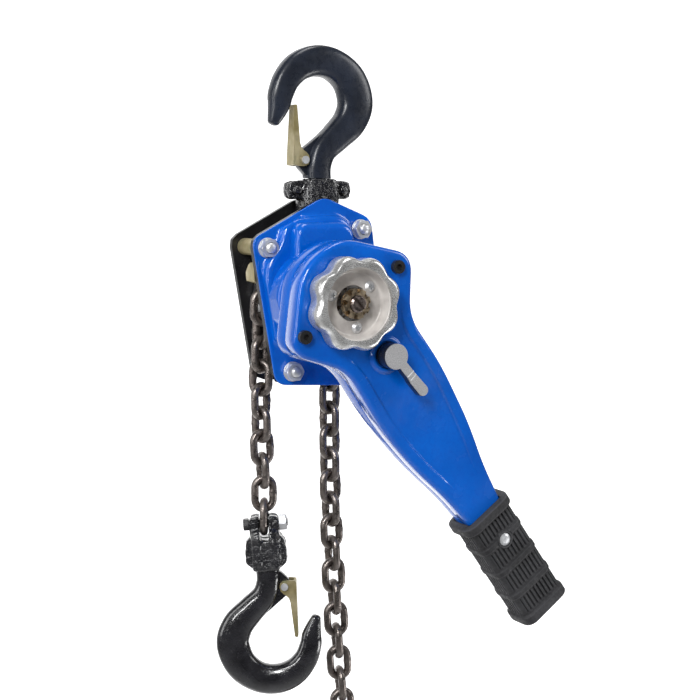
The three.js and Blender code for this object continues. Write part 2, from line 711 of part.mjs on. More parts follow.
function leverScrew([x, z]) {
  const head = LEVER_FRONT - GAP
  const screw = join(bar(2.9, head - 1, LEVER_REAR - SHEET - 1, 14), bar(5, head - 4, head, 18))
  return place(screw.subtract(hexagon(2.4, head - 5, head - 2)), x, 0, z)
}

function grip() {
  const [halfX, halfY] = GRIP_HALF
  const slab = (grow, start, end) => prism(halfX + grow, halfY + grow, 8, -end, -start)
  const body = join(
    slab(0, GRIP_START, GRIP_END),
    slab(3, GRIP_START, GRIP_START + 8),
    slab(2, GRIP_END - 9, GRIP_END),
    ...[27, 51, 75].map((down) => slab(0.9, GRIP_START + down - 2.5, GRIP_START + down + 2.5)),
  )
  const room = prism(17.7, 12, 0.8, -LEVER_LENGTH - 1, -GRIP_START + 1)
  const rivet = join(bar(4, -40, 40), bar(5.6, -40, -halfY), bar(5.6, halfY, 40))
  return place(body.subtract(room).subtract(place(rivet, 0, 0, -GRIP_RIVET)), 0, LEVER_MIDDLE, 0)
}

function gripRivet() {
  return place(domedRivet(3.4, 5, GRIP_HALF[1] + GAP, 1.3), 0, LEVER_MIDDLE, -GRIP_RIVET)
}

// ---------------------------------------------------------------- selector

// The knob's outline: a disc with an arm pointing down.
function knobOutline(disc, arm, length) {
  const shape = new THREE.Shape()
  const meet = Math.asin(arm / disc)
  shape.absarc(0, 0, disc, -Math.PI / 2 + meet, 1.5 * Math.PI - meet)
  shape.lineTo(-arm, -length * 0.5)
  shape.lineTo(-arm - 0.8, -length * 0.6)
  shape.absarc(0, -length + arm + 0.8, arm + 0.8, Math.PI, 2 * Math.PI)
  shape.lineTo(arm, -length * 0.5)
  shape.closePath()
  return shape
}

function selectorKnob() {
  const hub = bar(9.5, -95, LEVER_FRONT - 0.6, 24)
  return hub.add(plate(knobOutline(9.5, 3.6, SELECTOR_ARM), -95, -88.5, 0, 6)).subtract(bar(4.3, -90, 0, 16))
}

function selectorFacePlate() {
  return plate(knobOutline(9.4, 3.4, SELECTOR_ARM - 0.4), -96.3, -95.3, 0, 6)
}

// The two-ended pawl on the selector's shaft, which turns it against the change gear.
function selectorPawl() {
  const pawl = plate(outline([
    [-6, -8, 4], [6, -8, 4], [8, 6, 3], [17, 24, 2], [13.5, 30.5, 1], [7, 18, 5], [-7, 18, 5],
    [-13.5, 30.5, 1], [-17, 24, 2], [-8, 6, 3],
  ]), -67.5, -57)
  return pawl.add(bar(4, -89.7, -54, 16))
}

// ---------------------------------------------------------------- hand wheel

function wheelOutline() {
  const points = []
  const steps = WHEEL_LOBES * 6
  for (let k = 0; k < steps; k++) {
    const angle = k * 2 * Math.PI / steps
    const radius = WHEEL_RADIUS + 1.7 * Math.cos(WHEEL_LOBES * (angle - WHEEL_TURN))
    points.push(new THREE.Vector2(radius * Math.cos(angle), radius * Math.sin(angle)))
  }
  return new THREE.Shape(points)
}

const WHEEL_SCREW_ANGLES = [deg(40), deg(160), deg(280)]

function onWheel(shape, angle) {
  return place(shape, WHEEL_SCREW_RADIUS * Math.cos(angle), 0, WHEEL_SCREW_RADIUS * Math.sin(angle))
}

function wheelScrewHoles(radius) {
  return join(...WHEEL_SCREW_ANGLES.map((angle) => onWheel(bar(radius, -120, 0, 12), angle)))
}

function handWheel() {
  const cup = turned([
    [0, WHEEL_FRONT - 1], [27, WHEEL_FRONT - 1], [26, WHEEL_FLOOR], [0, WHEEL_FLOOR],
  ], 28)
  const back = turned([[0, -86], [29, -86], [30, WHEEL_REAR + 1], [0, WHEEL_REAR + 1]], 28)
  return plate(wheelOutline(), WHEEL_FRONT, WHEEL_REAR, 2.5)
    .subtract(cup)
    .subtract(back)
    .subtract(bar(12.8, -120, 0, 20))
    .subtract(wheelScrewHoles(2.4))
}

function wheelPlate() {
  return ring(7.5, 25, -85.7, -83.6, 24).add(ring(7.5, 12, -83.7, -79)).subtract(wheelScrewHoles(2.4))
}

function wheelScrew(angle) {
  const under = WHEEL_FLOOR - GAP
  const head = turned([[0, under - 2.2], [2.4, under - 1.9], [4.2, under], [0, under]], 14)
  const cross = join(box(-2, 2, -93, under - 0.9, -0.4, 0.4), box(-0.4, 0.4, -93, under - 0.9, -2, 2))
  const screw = head.add(bar(2.1, under - 0.2, -82.5, 12)).subtract(cross)
  return onWheel(screw, angle)
}

function castleNut() {
  const corners = []
  for (let k = 0; k < 8; k++) {
    const start = k * Math.PI / 4
    for (const [radius, part] of [[8, 0], [11, 0.1], [11, 0.6], [8, 0.7]]) {
      corners.push([radius * Math.cos(start + part * Math.PI / 4), radius * Math.sin(start + part * Math.PI / 4)])
    }
  }
  return plate(outline(corners), -96, -92.5).add(bar(11, -92.5, -91, 24)).subtract(bar(6.5, -120, 0, 20))
}

function freewheelSpring() {
  return coil(10.2, 0.9, -77.6, -70, 3)
}

// ---------------------------------------------------------------- bottom yoke

const BOTTOM_YOKE = { width: 11.5, ear: 15.5, slot: 3.6, slotDepth: 11.3 }

// Lengths are measured from the chain bolt, which lies along X. Each half wraps half of the
// hook's shank, and the chain's last link hangs in a slot through both of them.
function bottomYokeHalf(side) {
  const { width, ear, slot, slotDepth } = BOTTOM_YOKE
  const foot = -BOTTOM_NECK + GAP
  const layer = (corners, depth, bevel = 0) => side > 0
    ? plate(outline(corners), GAP / 2, depth, bevel)
    : plate(outline(corners), -depth, -GAP / 2, bevel)
  const cheeks = layer([[-width, 7, 4], [width, 7, 4], [width, -14, 2], [-width, -14, 2]], 8.5)
  const ears = layer([
    [-ear, -12, 4], [-8, -6, 3], [8, -6, 3], [ear, -12, 4], [ear + 1, foot + 6, 2], [ear - 6, foot, 2],
    [-ear + 6, foot, 2], [-ear - 1, foot + 6, 2],
  ], 6.5)
  const barrel = layer([[-10.5, -3, 5], [10.5, -3, 5], [11, foot, 3], [-11, foot, 3]], 12.5, 1.5)
  const ribs = [-4.8, 4.8].map((x) => layer([[x - 1.6, -8, 1], [x + 1.6, -8, 1], [x + 1.6, foot + 4, 1],
    [x - 1.6, foot + 4, 1]], 13.6))
  const shank = shankRoom(0).scale(BOTTOM_SCALE).rotate([180, 0, 0]).translate([0, 0, -BOTTOM_NECK])
  const bolt = bar(CHAIN_BOLT_RADIUS + GAP, -30, 30, 16).rotate([0, 0, 90])
  const link = box(-slot, slot, -20, 20, -slotDepth, 20)
  return join(cheeks, ears, barrel, ...ribs).subtract(join(shank, bolt, link))
}

function chainBolt() {
  const { width } = BOTTOM_YOKE
  const head = hexagon(5, width + GAP, width + 4.5)
  return join(bar(CHAIN_BOLT_RADIUS, -width - 6.8, width + 1, 16), head).rotate([0, 0, 90])
}

function chainBoltNut() {
  const { width } = BOTTOM_YOKE
  return hexagon(6.3, -width - 6, -width - GAP).subtract(bar(CHAIN_BOLT_RADIUS + GAP, -40, 0, 16)).rotate([0, 0, 90])
}

// ---------------------------------------------------------------- assembly

function group(...children) {
  const result = new THREE.Group()
  result.add(...children)
  return result
}

function hookParts(name) {
  return [
    mesh(`${name}_hook`, hook(), BLACK),
    mesh(`${name}_hook_latch`, latch(), YELLOW_ZINC),
    mesh(`${name}_latch_rivet`, latchRivet(), ZINC),
  ]
}

const topHook = group(...hookParts('top'))
topHook.position.set(HOOK_X, 0, SADDLE_Z)

const topYoke = group(
  mesh('top_yoke_front', topYokeHalf(-1), BLACK),
  mesh('top_yoke_rear', topYokeHalf(1), BLACK),
  mesh('top_yoke_left_rivet', topYokeRivet(-1), BLACK),
  mesh('top_yoke_right_rivet', topYokeRivet(1), BLACK),
  mesh('top_yoke_pin', place(bar(PIN_RADIUS, -20.8, 20.8), 0, 0, PIN_Z), ZINC),
)
topYoke.position.x = HOOK_X

const frame = group(
  mesh('front_side_plate', sidePlate(-1), BLACK),
  mesh('rear_side_plate', sidePlate(1), BLACK),
  ...STAYS.flatMap((spot, index) => [
    mesh(`${STAY_NAMES[index]}_stay`, stay(spot, STAY_SHOULDERS[index]), YELLOW_ZINC),
    mesh(`${STAY_NAMES[index]}_stay_nut`, stayNut(spot), ZINC),
  ]),
  mesh('chain_guide', chainGuide(), YELLOW_ZINC),
  mesh('front_sheave_bearing', sheaveBearing(-1), STEEL),
  mesh('rear_sheave_bearing', sheaveBearing(1), STEEL),
  mesh('gear_cover', gearCover(), BLUE),
  mesh('brake_cover', brakeCover(), BLUE),
  mesh('upper_brake_pawl', brakePawl(PAWL_ANGLES[0]), STEEL),
  mesh('lower_brake_pawl', brakePawl(PAWL_ANGLES[1]), STEEL),
)

const gears = group(
  mesh('load_sheave', loadSheave(), STEEL),
  mesh('load_gear', loadGear(), STEEL),
  mesh('upper_disc_gear', discGear(DISC_DIRECTION, Math.PI / DISC_PINION_TEETH), STEEL),
  mesh('lower_disc_gear', discGear(DISC_DIRECTION + Math.PI, 0), STEEL),
  mesh('pinion_shaft', pinionShaft(), STEEL),
)

const brake = group(
  mesh('disc_hub', discHub(), STEEL),
  mesh('inner_friction_disc', frictionDisc(-29.4, -26.9), FRICTION),
  mesh('ratchet_disc', ratchetDisc(), STEEL),
  mesh('outer_friction_disc', frictionDisc(-36.5, -34), FRICTION),
  mesh('change_gear', changeGear(), STEEL),
  mesh('freewheel_spring', freewheelSpring(), STEEL),
  mesh('castle_nut', castleNut(), BRASS),
)

const handWheelParts = group(
  mesh('hand_wheel', handWheel(), CHROME),
  mesh('hand_wheel_plate', wheelPlate(), STEEL),
  ...WHEEL_SCREW_ANGLES.map((angle, index) => mesh(`hand_wheel_screw_${index + 1}`, wheelScrew(angle), ZINC)),
)

const selectorTop = group(
  mesh('selector_knob', selectorKnob(), BLACK),
  mesh('selector_face_plate', selectorFacePlate(), SILVER),
)
selectorTop.rotation.y = -SELECTOR_REST
const selector = group(
  selectorTop,
  mesh('selector_pawl', selectorPawl(), STEEL),
)
selector.position.z = -SELECTOR_DOWN

const leverParts = group(
  mesh('lever_inner_shell', leverShell(1), BLUE),
  mesh('lever_outer_shell', leverShell(-1), BLUE),
  mesh('lower_lever_screw', leverScrew(LEVER_SCREWS[0]), BLACK),
  mesh('upper_lever_screw', leverScrew(LEVER_SCREWS[1]), BLACK),
  mesh('grip', grip(), RUBBER),
  mesh('grip_rivet', gripRivet(), ZINC),
  selector,
)
leverParts.position.x = LEVER_SHIFT
const lever = group(leverParts)
lever.rotation.y = -LEVER_ANGLE

const chain = group(
  mesh('load_chain', strand(LOAD_LINKS, loadStrandX, loadTwist), CHAIN),
  mesh('sheave_chain', sheaveLinks(), CHAIN),
  mesh('slack_chain', strand(SLACK_LINKS, slackStrandX, slackTwist), CHAIN),
  mesh('slack_chain_hank', hank(), CHAIN),
)

const bottomHook = group(...hookParts('bottom'))
bottomHook.scale.set(...BOTTOM_SCALE)
bottomHook.rotation.y = Math.PI
bottomHook.position.z = -BOTTOM_NECK + BOTTOM_SCALE[2] * (NECK_Z - SADDLE_Z)
const bottomBlock = group(
  mesh('bottom_yoke_front', bottomYokeHalf(-1), BLACK),
  mesh('bottom_yoke_rear', bottomYokeHalf(1), BLACK),
  mesh('chain_bolt', chainBolt(), BLACK),
  mesh('chain_bolt_nut', chainBoltNut(), ZINC),
  bottomHook,
)
bottomBlock.rotation.order = 'ZYX'
bottomBlock.rotation.set(0, BOTTOM_LEAN, BOTTOM_TURN)
bottomBlock.position.set(BOTTOM_X, 0, BOTTOM_BOLT_Z)

const hoist = group(topHook, topYoke, frame, gears, brake, handWheelParts, lever, chain, bottomBlock)
hoist.position.set(-HOOK_X, 0, -SADDLE_Z)

export default hoist
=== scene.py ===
"""Looks of the lever chain hoist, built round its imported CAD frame. Blender 4.5."""
import math

import bmesh
import bpy
from mathutils import Matrix, Vector, noise


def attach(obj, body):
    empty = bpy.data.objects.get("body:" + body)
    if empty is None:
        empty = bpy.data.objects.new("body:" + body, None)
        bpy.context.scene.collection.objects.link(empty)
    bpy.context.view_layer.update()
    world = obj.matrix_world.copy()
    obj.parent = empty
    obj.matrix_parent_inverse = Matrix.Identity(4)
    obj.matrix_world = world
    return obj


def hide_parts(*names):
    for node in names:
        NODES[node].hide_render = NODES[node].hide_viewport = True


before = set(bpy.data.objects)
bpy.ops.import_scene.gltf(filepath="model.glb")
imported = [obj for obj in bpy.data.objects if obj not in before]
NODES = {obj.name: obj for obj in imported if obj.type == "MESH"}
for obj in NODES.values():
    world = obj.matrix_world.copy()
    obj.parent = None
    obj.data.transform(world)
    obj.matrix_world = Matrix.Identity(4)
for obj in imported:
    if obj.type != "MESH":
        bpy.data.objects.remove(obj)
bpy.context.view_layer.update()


# ------------------------ sizes, in millimetres
# Lengths are measured from the load sheave's centre, as in the CAD part; +Y is away from the lever.

HOOK_X, SADDLE_Z, NECK_Z = 17, 167, 90
LINK_PITCH, LINK_WIRE, LINK_WIDTH, LINK_BITE = 18, 6, 20, 0.2
STRAND_START, STRAND_X = 1.5, 29.5
POCKETS = 5
CHAIN_STEP = math.pi / POCKETS
CHAIN_APOTHEM = LINK_PITCH / 2 / math.tan(CHAIN_STEP / 2)
LOAD_LINKS, SLACK_LINKS = 10, 19
HANK_LENGTH, HANK_RUNS, HANK_ROWS = 152, 4, 2
GAP, SHEET = 0.3, 2
NUT_ACROSS = 14.8
PLATE_INSIDE = 16.7                     # the side plates face each other here
FLANGE_BACK = 21.3                      # both covers' flanges lie on the side plates here
FLANGE_FACE = FLANGE_BACK + SHEET
COVER_DEPTH, COVER_RADIUS = 48, 38
FRAME_CORNERS = [(-48.5, 44.6, 7), (11, 76, 7), (52, 59.6, 8), (56, 30, 12), (37.5, -69, 10),
                 (-29.6, -64.9, 9)]
STAYS = {"upper_left": (-36.5, 38.2, 6.4), "upper_right": (42, 51.3, 6.4), "lower": (-16.3, -55, 4.4)}
GEAR_DIRECTION, GEAR_CENTRES, GEAR_COVER_RADIUS = math.radians(100), 25.5, 25.2

LEVER_ANGLE, LEVER_SHIFT, LEVER_MIDDLE = math.radians(35.5), 3.5, -66
LEVER_CROWN = (18.7, 42.3, 18)
LEVER_CORNERS = [(61, 4, 14), (32.5, 41, 14), (34.5, 96, 20), (29.5, 140, 20), (21, 177, 20), (17.3, 206, 10),
                 (15, 225, 6), (15, 296, 4)]
LEVER_HALF_DEPTHS = [(62, 16), (120, 12), (200, 11.5), (320, 11)]
GRIP_START, GRIP_LENGTH, GRIP_HALF_X, GRIP_HALF_Y = 207, 105, 21, 14.5
GRIP_BANDS = (27, 51, 75)
GRIP_RIVET, GRIP_SIDES = 29, 320
SELECTOR_DOWN, SELECTOR_REST, SELECTOR_ARM = 51, math.radians(5.5), 39

WHEEL_RADIUS, WHEEL_LOBES, WHEEL_LOBE, WHEEL_TURN = 33.4, 8, 1.7, math.radians(18)
WHEEL_SCREW_RADIUS, WHEEL_SCREW_ANGLES = 18, [math.radians(a) for a in (40, 160, 280)]
WHEEL_REAR, WHEEL_FLOOR, WHEEL_FRONT = -83.5, -89, -101

BOTTOM_TURN, BOTTOM_LEAN = math.radians(-28.5), math.radians(-4)
CHAIN_BOLT_RADIUS, BOTTOM_NECK = 3.2, 36
BOTTOM_SCALE = Vector((0.94, 0.94, 0.99))
BOTTOM_BOLT_Z = STRAND_START - LINK_PITCH * LOAD_LINKS + LINK_BITE / 2 + CHAIN_BOLT_RADIUS + GAP

WELD = 1e-6                             # points closer than this, in metres, become one
LENS = 73.47
CAMERA_PLACE = (-0.505547, -0.984512, -0.093371)
CAMERA_DIRECTION = Vector((0.474545, 0.874003, -0.104528))


# ------------------------ places of the parts

SHEAVE = Matrix.Scale(0.001, 4) @ Matrix.Translation((-HOOK_X, 0, -SADDLE_Z))
TOP_HOOK = SHEAVE @ Matrix.Translation((HOOK_X, 0, SADDLE_Z))
LEVER = SHEAVE @ Matrix.Rotation(-LEVER_ANGLE, 4, "Y") @ Matrix.Translation((LEVER_SHIFT, 0, 0))
SELECTOR = LEVER @ Matrix.Translation((0, 0, -SELECTOR_DOWN)) @ Matrix.Rotation(-SELECTOR_REST, 4, "Y")
BOTTOM = (SHEAVE @ Matrix.Translation((-STRAND_X, 0, BOTTOM_BOLT_Z))
          @ Matrix.Rotation(BOTTOM_TURN, 4, "Z") @ Matrix.Rotation(BOTTOM_LEAN, 4, "Y"))
BOTTOM_HOOK = (BOTTOM @ Matrix.Translation((0, 0, -BOTTOM_NECK + BOTTOM_SCALE.z * (NECK_Z - SADDLE_Z)))
               @ Matrix.Rotation(math.pi, 4, "Y") @ Matrix.Diagonal(BOTTOM_SCALE).to_4x4())


# ------------------------ materials

class Surface:
    """A Principled material being put together. Its patterns lie in object space, in metres."""

    def __init__(self, name, roughness, metallic=0.0, coat=0.0, coat_roughness=0.05):
        self.material = bpy.data.materials.new(name)
        self.material.use_nodes = True
        self.tree = self.material.node_tree
        self.shader = self.tree.nodes["Principled BSDF"]
        self.shader.inputs["Roughness"].default_value = roughness
        self.shader.inputs["Metallic"].default_value = metallic
        self.shader.inputs["Coat Weight"].default_value = coat
        self.shader.inputs["Coat Roughness"].default_value = coat_roughness
        self.place = self.tree.nodes.new("ShaderNodeTexCoord").outputs["Object"]

    def noise(self, scale, detail=3.0, stretch=(1, 1, 1)):
        mapping = self.tree.nodes.new("ShaderNodeMapping")
        mapping.inputs["Scale"].default_value = stretch
        self.tree.links.new(self.place, mapping.inputs["Vector"])
        texture = self.tree.nodes.new("ShaderNodeTexNoise")
        texture.inputs["Scale"].default_value = scale
        texture.inputs["Detail"].default_value = detail
        self.tree.links.new(mapping.outputs["Vector"], texture.inputs["Vector"])
        return texture.outputs["Fac"]

    def spread(self, factor, low, high, start=0.35, end=0.65):
        ramp = self.tree.nodes.new("ShaderNodeMapRange")
        ramp.inputs["From Min"].default_value = start
        ramp.inputs["From Max"].default_value = end
        ramp.inputs["To Min"].default_value = low
        ramp.inputs["To Max"].default_value = high
        self.tree.links.new(factor, ramp.inputs["Value"])
        return ramp.outputs["Result"]

    def blend(self, factor, first, second):
        mix = self.tree.nodes.new("ShaderNodeMix")
        mix.data_type = "RGBA"
        self.tree.links.new(factor, mix.inputs["Factor"])
        for value, socket in ((first, mix.inputs["A"]), (second, mix.inputs["B"])):
            if isinstance(value, tuple):
                socket.default_value = (*value, 1)
            else:
                self.tree.links.new(value, socket)
        return mix.outputs["Result"]

    def mottled(self, scale, detail, first, second):
        """A colour that drifts between two tones."""
        return self.blend(self.spread(self.noise(scale, detail), 0, 1), first, second)

    def colour(self, socket):
        self.tree.links.new(socket, self.shader.inputs["Base Color"])

    def roughness(self, low, high, *pattern):
        self.tree.links.new(self.spread(self.noise(*pattern), low, high), self.shader.inputs["Roughness"])

    def bump(self, distance, *pattern):
        height = self.noise(*pattern)
        node = self.tree.nodes.new("ShaderNodeBump")
        node.inputs["Distance"].default_value = distance
        self.tree.links.new(height, node.inputs["Height"])
        self.tree.links.new(node.outputs["Normal"], self.shader.inputs["Normal"])

    def edges(self, start=0.52, end=0.58):
        """1 along convex edges, 0 on flat and hollow faces."""
        geometry = self.tree.nodes.new("ShaderNodeNewGeometry")
        return self.spread(geometry.outputs["Pointiness"], 0, 1, start, end)


def blue_paint():
    """Thick glossy stove enamel with a slight orange peel."""
    s = Surface("blue_paint", 0.2, coat=0.9, coat_roughness=0.05)
    s.shader.inputs["Specular IOR Level"].default_value = 0.2
    tone = s.mottled(14, 3, (0.0, 0.095, 0.5), (0.0, 0.125, 0.62))
    s.colour(s.blend(s.spread(s.noise(420, 4), 0, 0.25, 0.45, 0.8), tone, (0.002, 0.045, 0.42)))
    s.roughness(0.16, 0.3, 60)
    s.bump(0.00012, 260, 2)
    return s.material


def gloss_black(name, lump_scale, lump_height):
    """Dipped black paint that runs over the forging's scale."""
    s = Surface(name, 0.18, coat=1.0, coat_roughness=0.08)
    s.colour(s.mottled(90, 3, (0.005, 0.005, 0.007), (0.016, 0.016, 0.02)))
    s.roughness(0.14, 0.3, 150)
    s.bump(lump_height, lump_scale, 3)
    return s.material


def satin_black(name, colour, roughness):
    """Sprayed black paint, a little dusty."""
    s = Surface(name, roughness)
    light = tuple(1.8 * c for c in colour)
    s.colour(s.mottled(55, 4, colour, light))
    s.roughness(roughness - 0.03, roughness + 0.05, 240, 3)
    s.bump(0.00006, 700, 3)
    return s.material


def chain_steel():
    """Heat-treated chain: brown-grey scale, brighter where the links rub."""
    s = Surface("dark_chain_steel", 0.4, metallic=0.85)
    scale = s.mottled(130, 5, (0.05, 0.038, 0.034), (0.16, 0.13, 0.12))
    s.colour(s.blend(s.edges(0.51, 0.58), scale, (0.3, 0.27, 0.25)))
    s.roughness(0.22, 0.5, 300, 3)
    s.bump(0.00022, 500, 4)
    return s.material


def machined_steel(name, colour, roughness=0.3):
    s = Surface(name, roughness, metallic=1.0)
    dark = tuple(0.6 * c for c in colour)
    s.colour(s.mottled(80, 4, dark, colour))
    s.roughness(roughness - 0.1, roughness + 0.15, 400, 3, (1, 6, 1))
    s.bump(0.00003, 900, 2, (1, 8, 1))
    return s.material


def bright_zinc():
    """Electroplated fasteners, faintly blue, with dull patches."""
    s = Surface("bright_zinc", 0.25, metallic=0.65)
    s.colour(s.mottled(120, 3, (0.58, 0.59, 0.61), (0.78, 0.79, 0.81)))
    s.roughness(0.34, 0.48, 300, 3)
    s.bump(0.00001, 700, 2)
    return s.material


def yellow_zinc():
    """Yellow chromate on zinc, which shifts between straw and green."""
    s = Surface("yellow_zinc", 0.3, metallic=0.7)
    straw = s.mottled(60, 3, (0.34, 0.28, 0.13), (0.56, 0.49, 0.3))
    s.colour(s.blend(s.spread(s.noise(110, 2), 0, 0.6, 0.5, 0.75), straw, (0.28, 0.31, 0.17)))
    s.roughness(0.34, 0.5, 300, 3)
    s.bump(0.00004, 600, 2)
    return s.material


def polished_wheel():
    """Die-cast hand wheel, polished on its rim, with fine scratches and faint stains."""
    s = Surface("polished_wheel", 0.14, metallic=0.75)
    s.colour(s.mottled(70, 5, (0.5, 0.5, 0.49), (0.82, 0.82, 0.82)))
    s.roughness(0.2, 0.36, 900, 2, (1, 1, 7))
    s.bump(0.0004, 120, 3)
    return s.material


def wheel_recess():
    """The recess of the hand wheel: as cast, satin and pale."""
    s = Surface("wheel_recess", 0.42, metallic=0.15)
    s.colour(s.mottled(90, 5, (0.48, 0.45, 0.43), (0.68, 0.65, 0.62)))
    s.roughness(0.34, 0.52, 600, 3)
    s.bump(0.00008, 800, 3)
    return s.material


def aged_brass():
    s = Surface("brass", 0.35, metallic=1.0)
    tone = s.mottled(160, 5, (0.12, 0.085, 0.055), (0.34, 0.26, 0.17))
    s.colour(s.blend(s.edges(), tone, (0.5, 0.4, 0.28)))
    s.roughness(0.22, 0.5, 400, 3)
    s.bump(0.0001, 500, 3)
    return s.material


def friction_lining():
    s = Surface("friction_lining", 0.9)
    s.colour(s.mottled(900, 5, (0.1, 0.07, 0.05), (0.26, 0.2, 0.15)))
    s.bump(0.0001, 1200, 4)
    return s.material


def grip_rubber():
    """Moulded black rubber, matt, greyer where hands and dust rub it."""
    s = Surface("grip_rubber", 0.7)
    tone = s.mottled(40, 4, (0.012, 0.012, 0.014), (0.03, 0.03, 0.034))
    s.colour(s.blend(s.edges(0.51, 0.57), tone, (0.06, 0.06, 0.066)))
    s.roughness(0.55, 0.8, 500, 3)
    s.bump(0.00012, 1500, 3)
    return s.material


def silver_paint():
    """The selector's face: grainy silver-grey."""
    s = Surface("silver_plate", 0.5, metallic=0.35)
    s.colour(s.mottled(1600, 4, (0.3, 0.3, 0.31), (0.52, 0.52, 0.53)))
    s.roughness(0.4, 0.62, 700, 3)
    s.bump(0.00006, 1800, 3)
    return s.material


BLUE = blue_paint()
YOKE_BLACK = gloss_black("yoke_black", 260, 0.0026)
HOOK_BLACK = gloss_black("bottom_hook_black", 480, 0.00035)
SATIN_BLACK = satin_black("top_hook_black", (0.011, 0.014, 0.022), 0.28)
PLATE_BLACK = satin_black("plate_black", (0.008, 0.008, 0.009), 0.3)
KNOB_BLACK = satin_black("knob_black", (0.01, 0.01, 0.011), 0.22)
SCREW_BLACK = satin_black("screw_black", (0.012, 0.012, 0.013), 0.3)
CHAIN_STEEL = chain_steel()
STEEL = machined_steel("bare_steel", (0.62, 0.62, 0.63))
OILED_STEEL = machined_steel("oiled_steel", (0.3, 0.25, 0.23))
ZINC = bright_zinc()
YELLOW_ZINC = yellow_zinc()
WHEEL = polished_wheel()
WHEEL_RECESS = wheel_recess()
BRASS = aged_brass()
FRICTION = friction_lining()
RUBBER = grip_rubber()
SILVER = silver_paint()


# ------------------------ outlines and meshes
# A shape is (points, faces) with its points in millimetres.

def smoothstep(t):
    t = min(max(t, 0), 1)
    return t * t * (3 - 2 * t)


def outline(corners, inset=0.0, segments=6):
    """Points of a closed outline. Each (x, z, cut) corner is rounded over the length cut of both its sides.
    inset moves every side inwards, and keeps the number of points."""
    count = len(corners)
    area = sum(corners[i - 1][0] * corners[i][1] - corners[i][0] * corners[i - 1][1] for i in range(count))
    turn_sign = 1 if area > 0 else -1
    shifted = []
    for i, (x, z, cut) in enumerate(corners):
        before = Vector((x - corners[i - 1][0], z - corners[i - 1][1])).normalized()
        after = Vector((corners[(i + 1) % count][0] - x, corners[(i + 1) % count][1] - z)).normalized()
        into = Vector((-before.y - after.y, before.x + after.x)) * turn_sign
        spread = 1 + before.dot(after)
        bend = (before.x * after.y - before.y * after.x) * turn_sign / spread
        shifted.append((Vector((x, z)) + into * inset / spread, max(cut - bend * inset, 0.3)))
    points = []
    for i, (corner, cut) in enumerate(shifted):
        to_before = shifted[i - 1][0] - corner
        to_after = shifted[(i + 1) % count][0] - corner
        reach = min(cut, 0.47 * to_before.length, 0.47 * to_after.length)
        start = corner + to_before.normalized() * reach
        end = corner + to_after.normalized() * reach
        for k in range(segments + 1):
            t = k / segments
            points.append((1 - t) ** 2 * start + 2 * t * (1 - t) * corner + t * t * end)
    return points


def box_outline(half_x, half_z, cut, segments=6):
    corners = [(-half_x, -half_z, cut), (half_x, -half_z, cut), (half_x, half_z, cut), (-half_x, half_z, cut)]
    return outline(corners, 0, segments)


def polar(points, directions):
    """How far a closed outline reaches from the centre in each of the directions, in radians."""
    reaches = []
    for angle in directions:
        ray = Vector((math.cos(angle), math.sin(angle)))
        best = 0.0
        for i, end in enumerate(points):
            start = points[i - 1]
            side = end - start
            across = ray.x * side.y - ray.y * side.x
            if abs(across) < 1e-9:
                continue
            distance = (start.x * side.y - start.y * side.x) / across
            along = (start.x * ray.y - start.y * ray.x) / across
            if 0 <= along <= 1:
                best = max(best, distance)
        reaches.append(best)
    return reaches


def resampled(points, count):
    """Evenly spaced points on a closed outline, each with its outward normal."""
    lengths = [0.0]
    for i in range(len(points)):
        lengths.append(lengths[-1] + (points[(i + 1) % len(points)] - points[i]).length)
    result = []
    k = 0
    for n in range(count):
        target = lengths[-1] * n / count
        while lengths[k + 1] < target:
            k += 1
        start, end = points[k], points[(k + 1) % len(points)]
        side = end - start
        share = (target - lengths[k]) / max(side.length, 1e-9)
        tangent = side.normalized()
        result.append((start + side * share, Vector((tangent.y, -tangent.x))))
    return result


def rounded(profile, steps=5):
    """An open profile of (a, b, cut) points with its inner corners rounded over the length cut."""
    points = [Vector(profile[0][:2])]
    for i in range(1, len(profile) - 1):
        corner = Vector(profile[i][:2])
        to_before = Vector(profile[i - 1][:2]) - corner
        to_after = Vector(profile[i + 1][:2]) - corner
        reach = min(profile[i][2], 0.49 * to_before.length, 0.49 * to_after.length)
        if reach < 1e-6:
            points.append(corner)
            continue
        start = corner + to_before.normalized() * reach
        end = corner + to_after.normalized() * reach
        for k in range(steps + 1):
            t = k / steps
            points.append((1 - t) ** 2 * start + 2 * t * (1 - t) * corner + t * t * end)
    points.append(Vector(profile[-1][:2]))
    return points


def stack(rings, closed=False):
    """Skins a row of rings of equal counts of points. Its two ends are capped unless it closes on itself."""
    count = len(rings[0])
    points = [p for ring in rings for p in ring]
    faces = []
    for k in range(len(rings) if closed else len(rings) - 1):
        here = k * count
        there = (k + 1) % len(rings) * count
        for i in range(count):
            j = (i + 1) % count
            faces.append((here + i, here + j, there + j, there + i))
    if not closed:
        faces.append(tuple(range(count)))
        faces.append(tuple(range(len(points) - count, len(points))))
    return points, faces


def slab(corners, profile, segments=6):
    """An outline carried along Y through the profile's (inset, y) points."""
    return stack([[(p.x, y, p.y) for p in outline(corners, inset, segments)] for inset, y in profile])


def lathe(profile, sides=48, centre=(0, 0), closed=False):
    """Turns (radius, y) points about the Y axis through centre."""
    angles = [2 * math.pi * k / sides for k in range(sides)]
    x, z = centre
    rings = [[(x + r * math.cos(a), y, z + r * math.sin(a)) for a in angles] for r, y in profile]
    return stack(rings, closed)


def merge(*shapes):
    points, faces = [], []
    for more_points, more_faces in shapes:
        offset = len(points)
        points.extend(more_points)
        faces.extend(tuple(i + offset for i in face) for face in more_faces)
    return points, faces


def moved(shape, matrix):
    return [matrix @ Vector(p) for p in shape[0]], shape[1]


def smooth_shading(mesh, sharp_degrees):
    mesh.shade_smooth()
    mesh.set_sharp_from_angle(angle=math.radians(sharp_degrees))


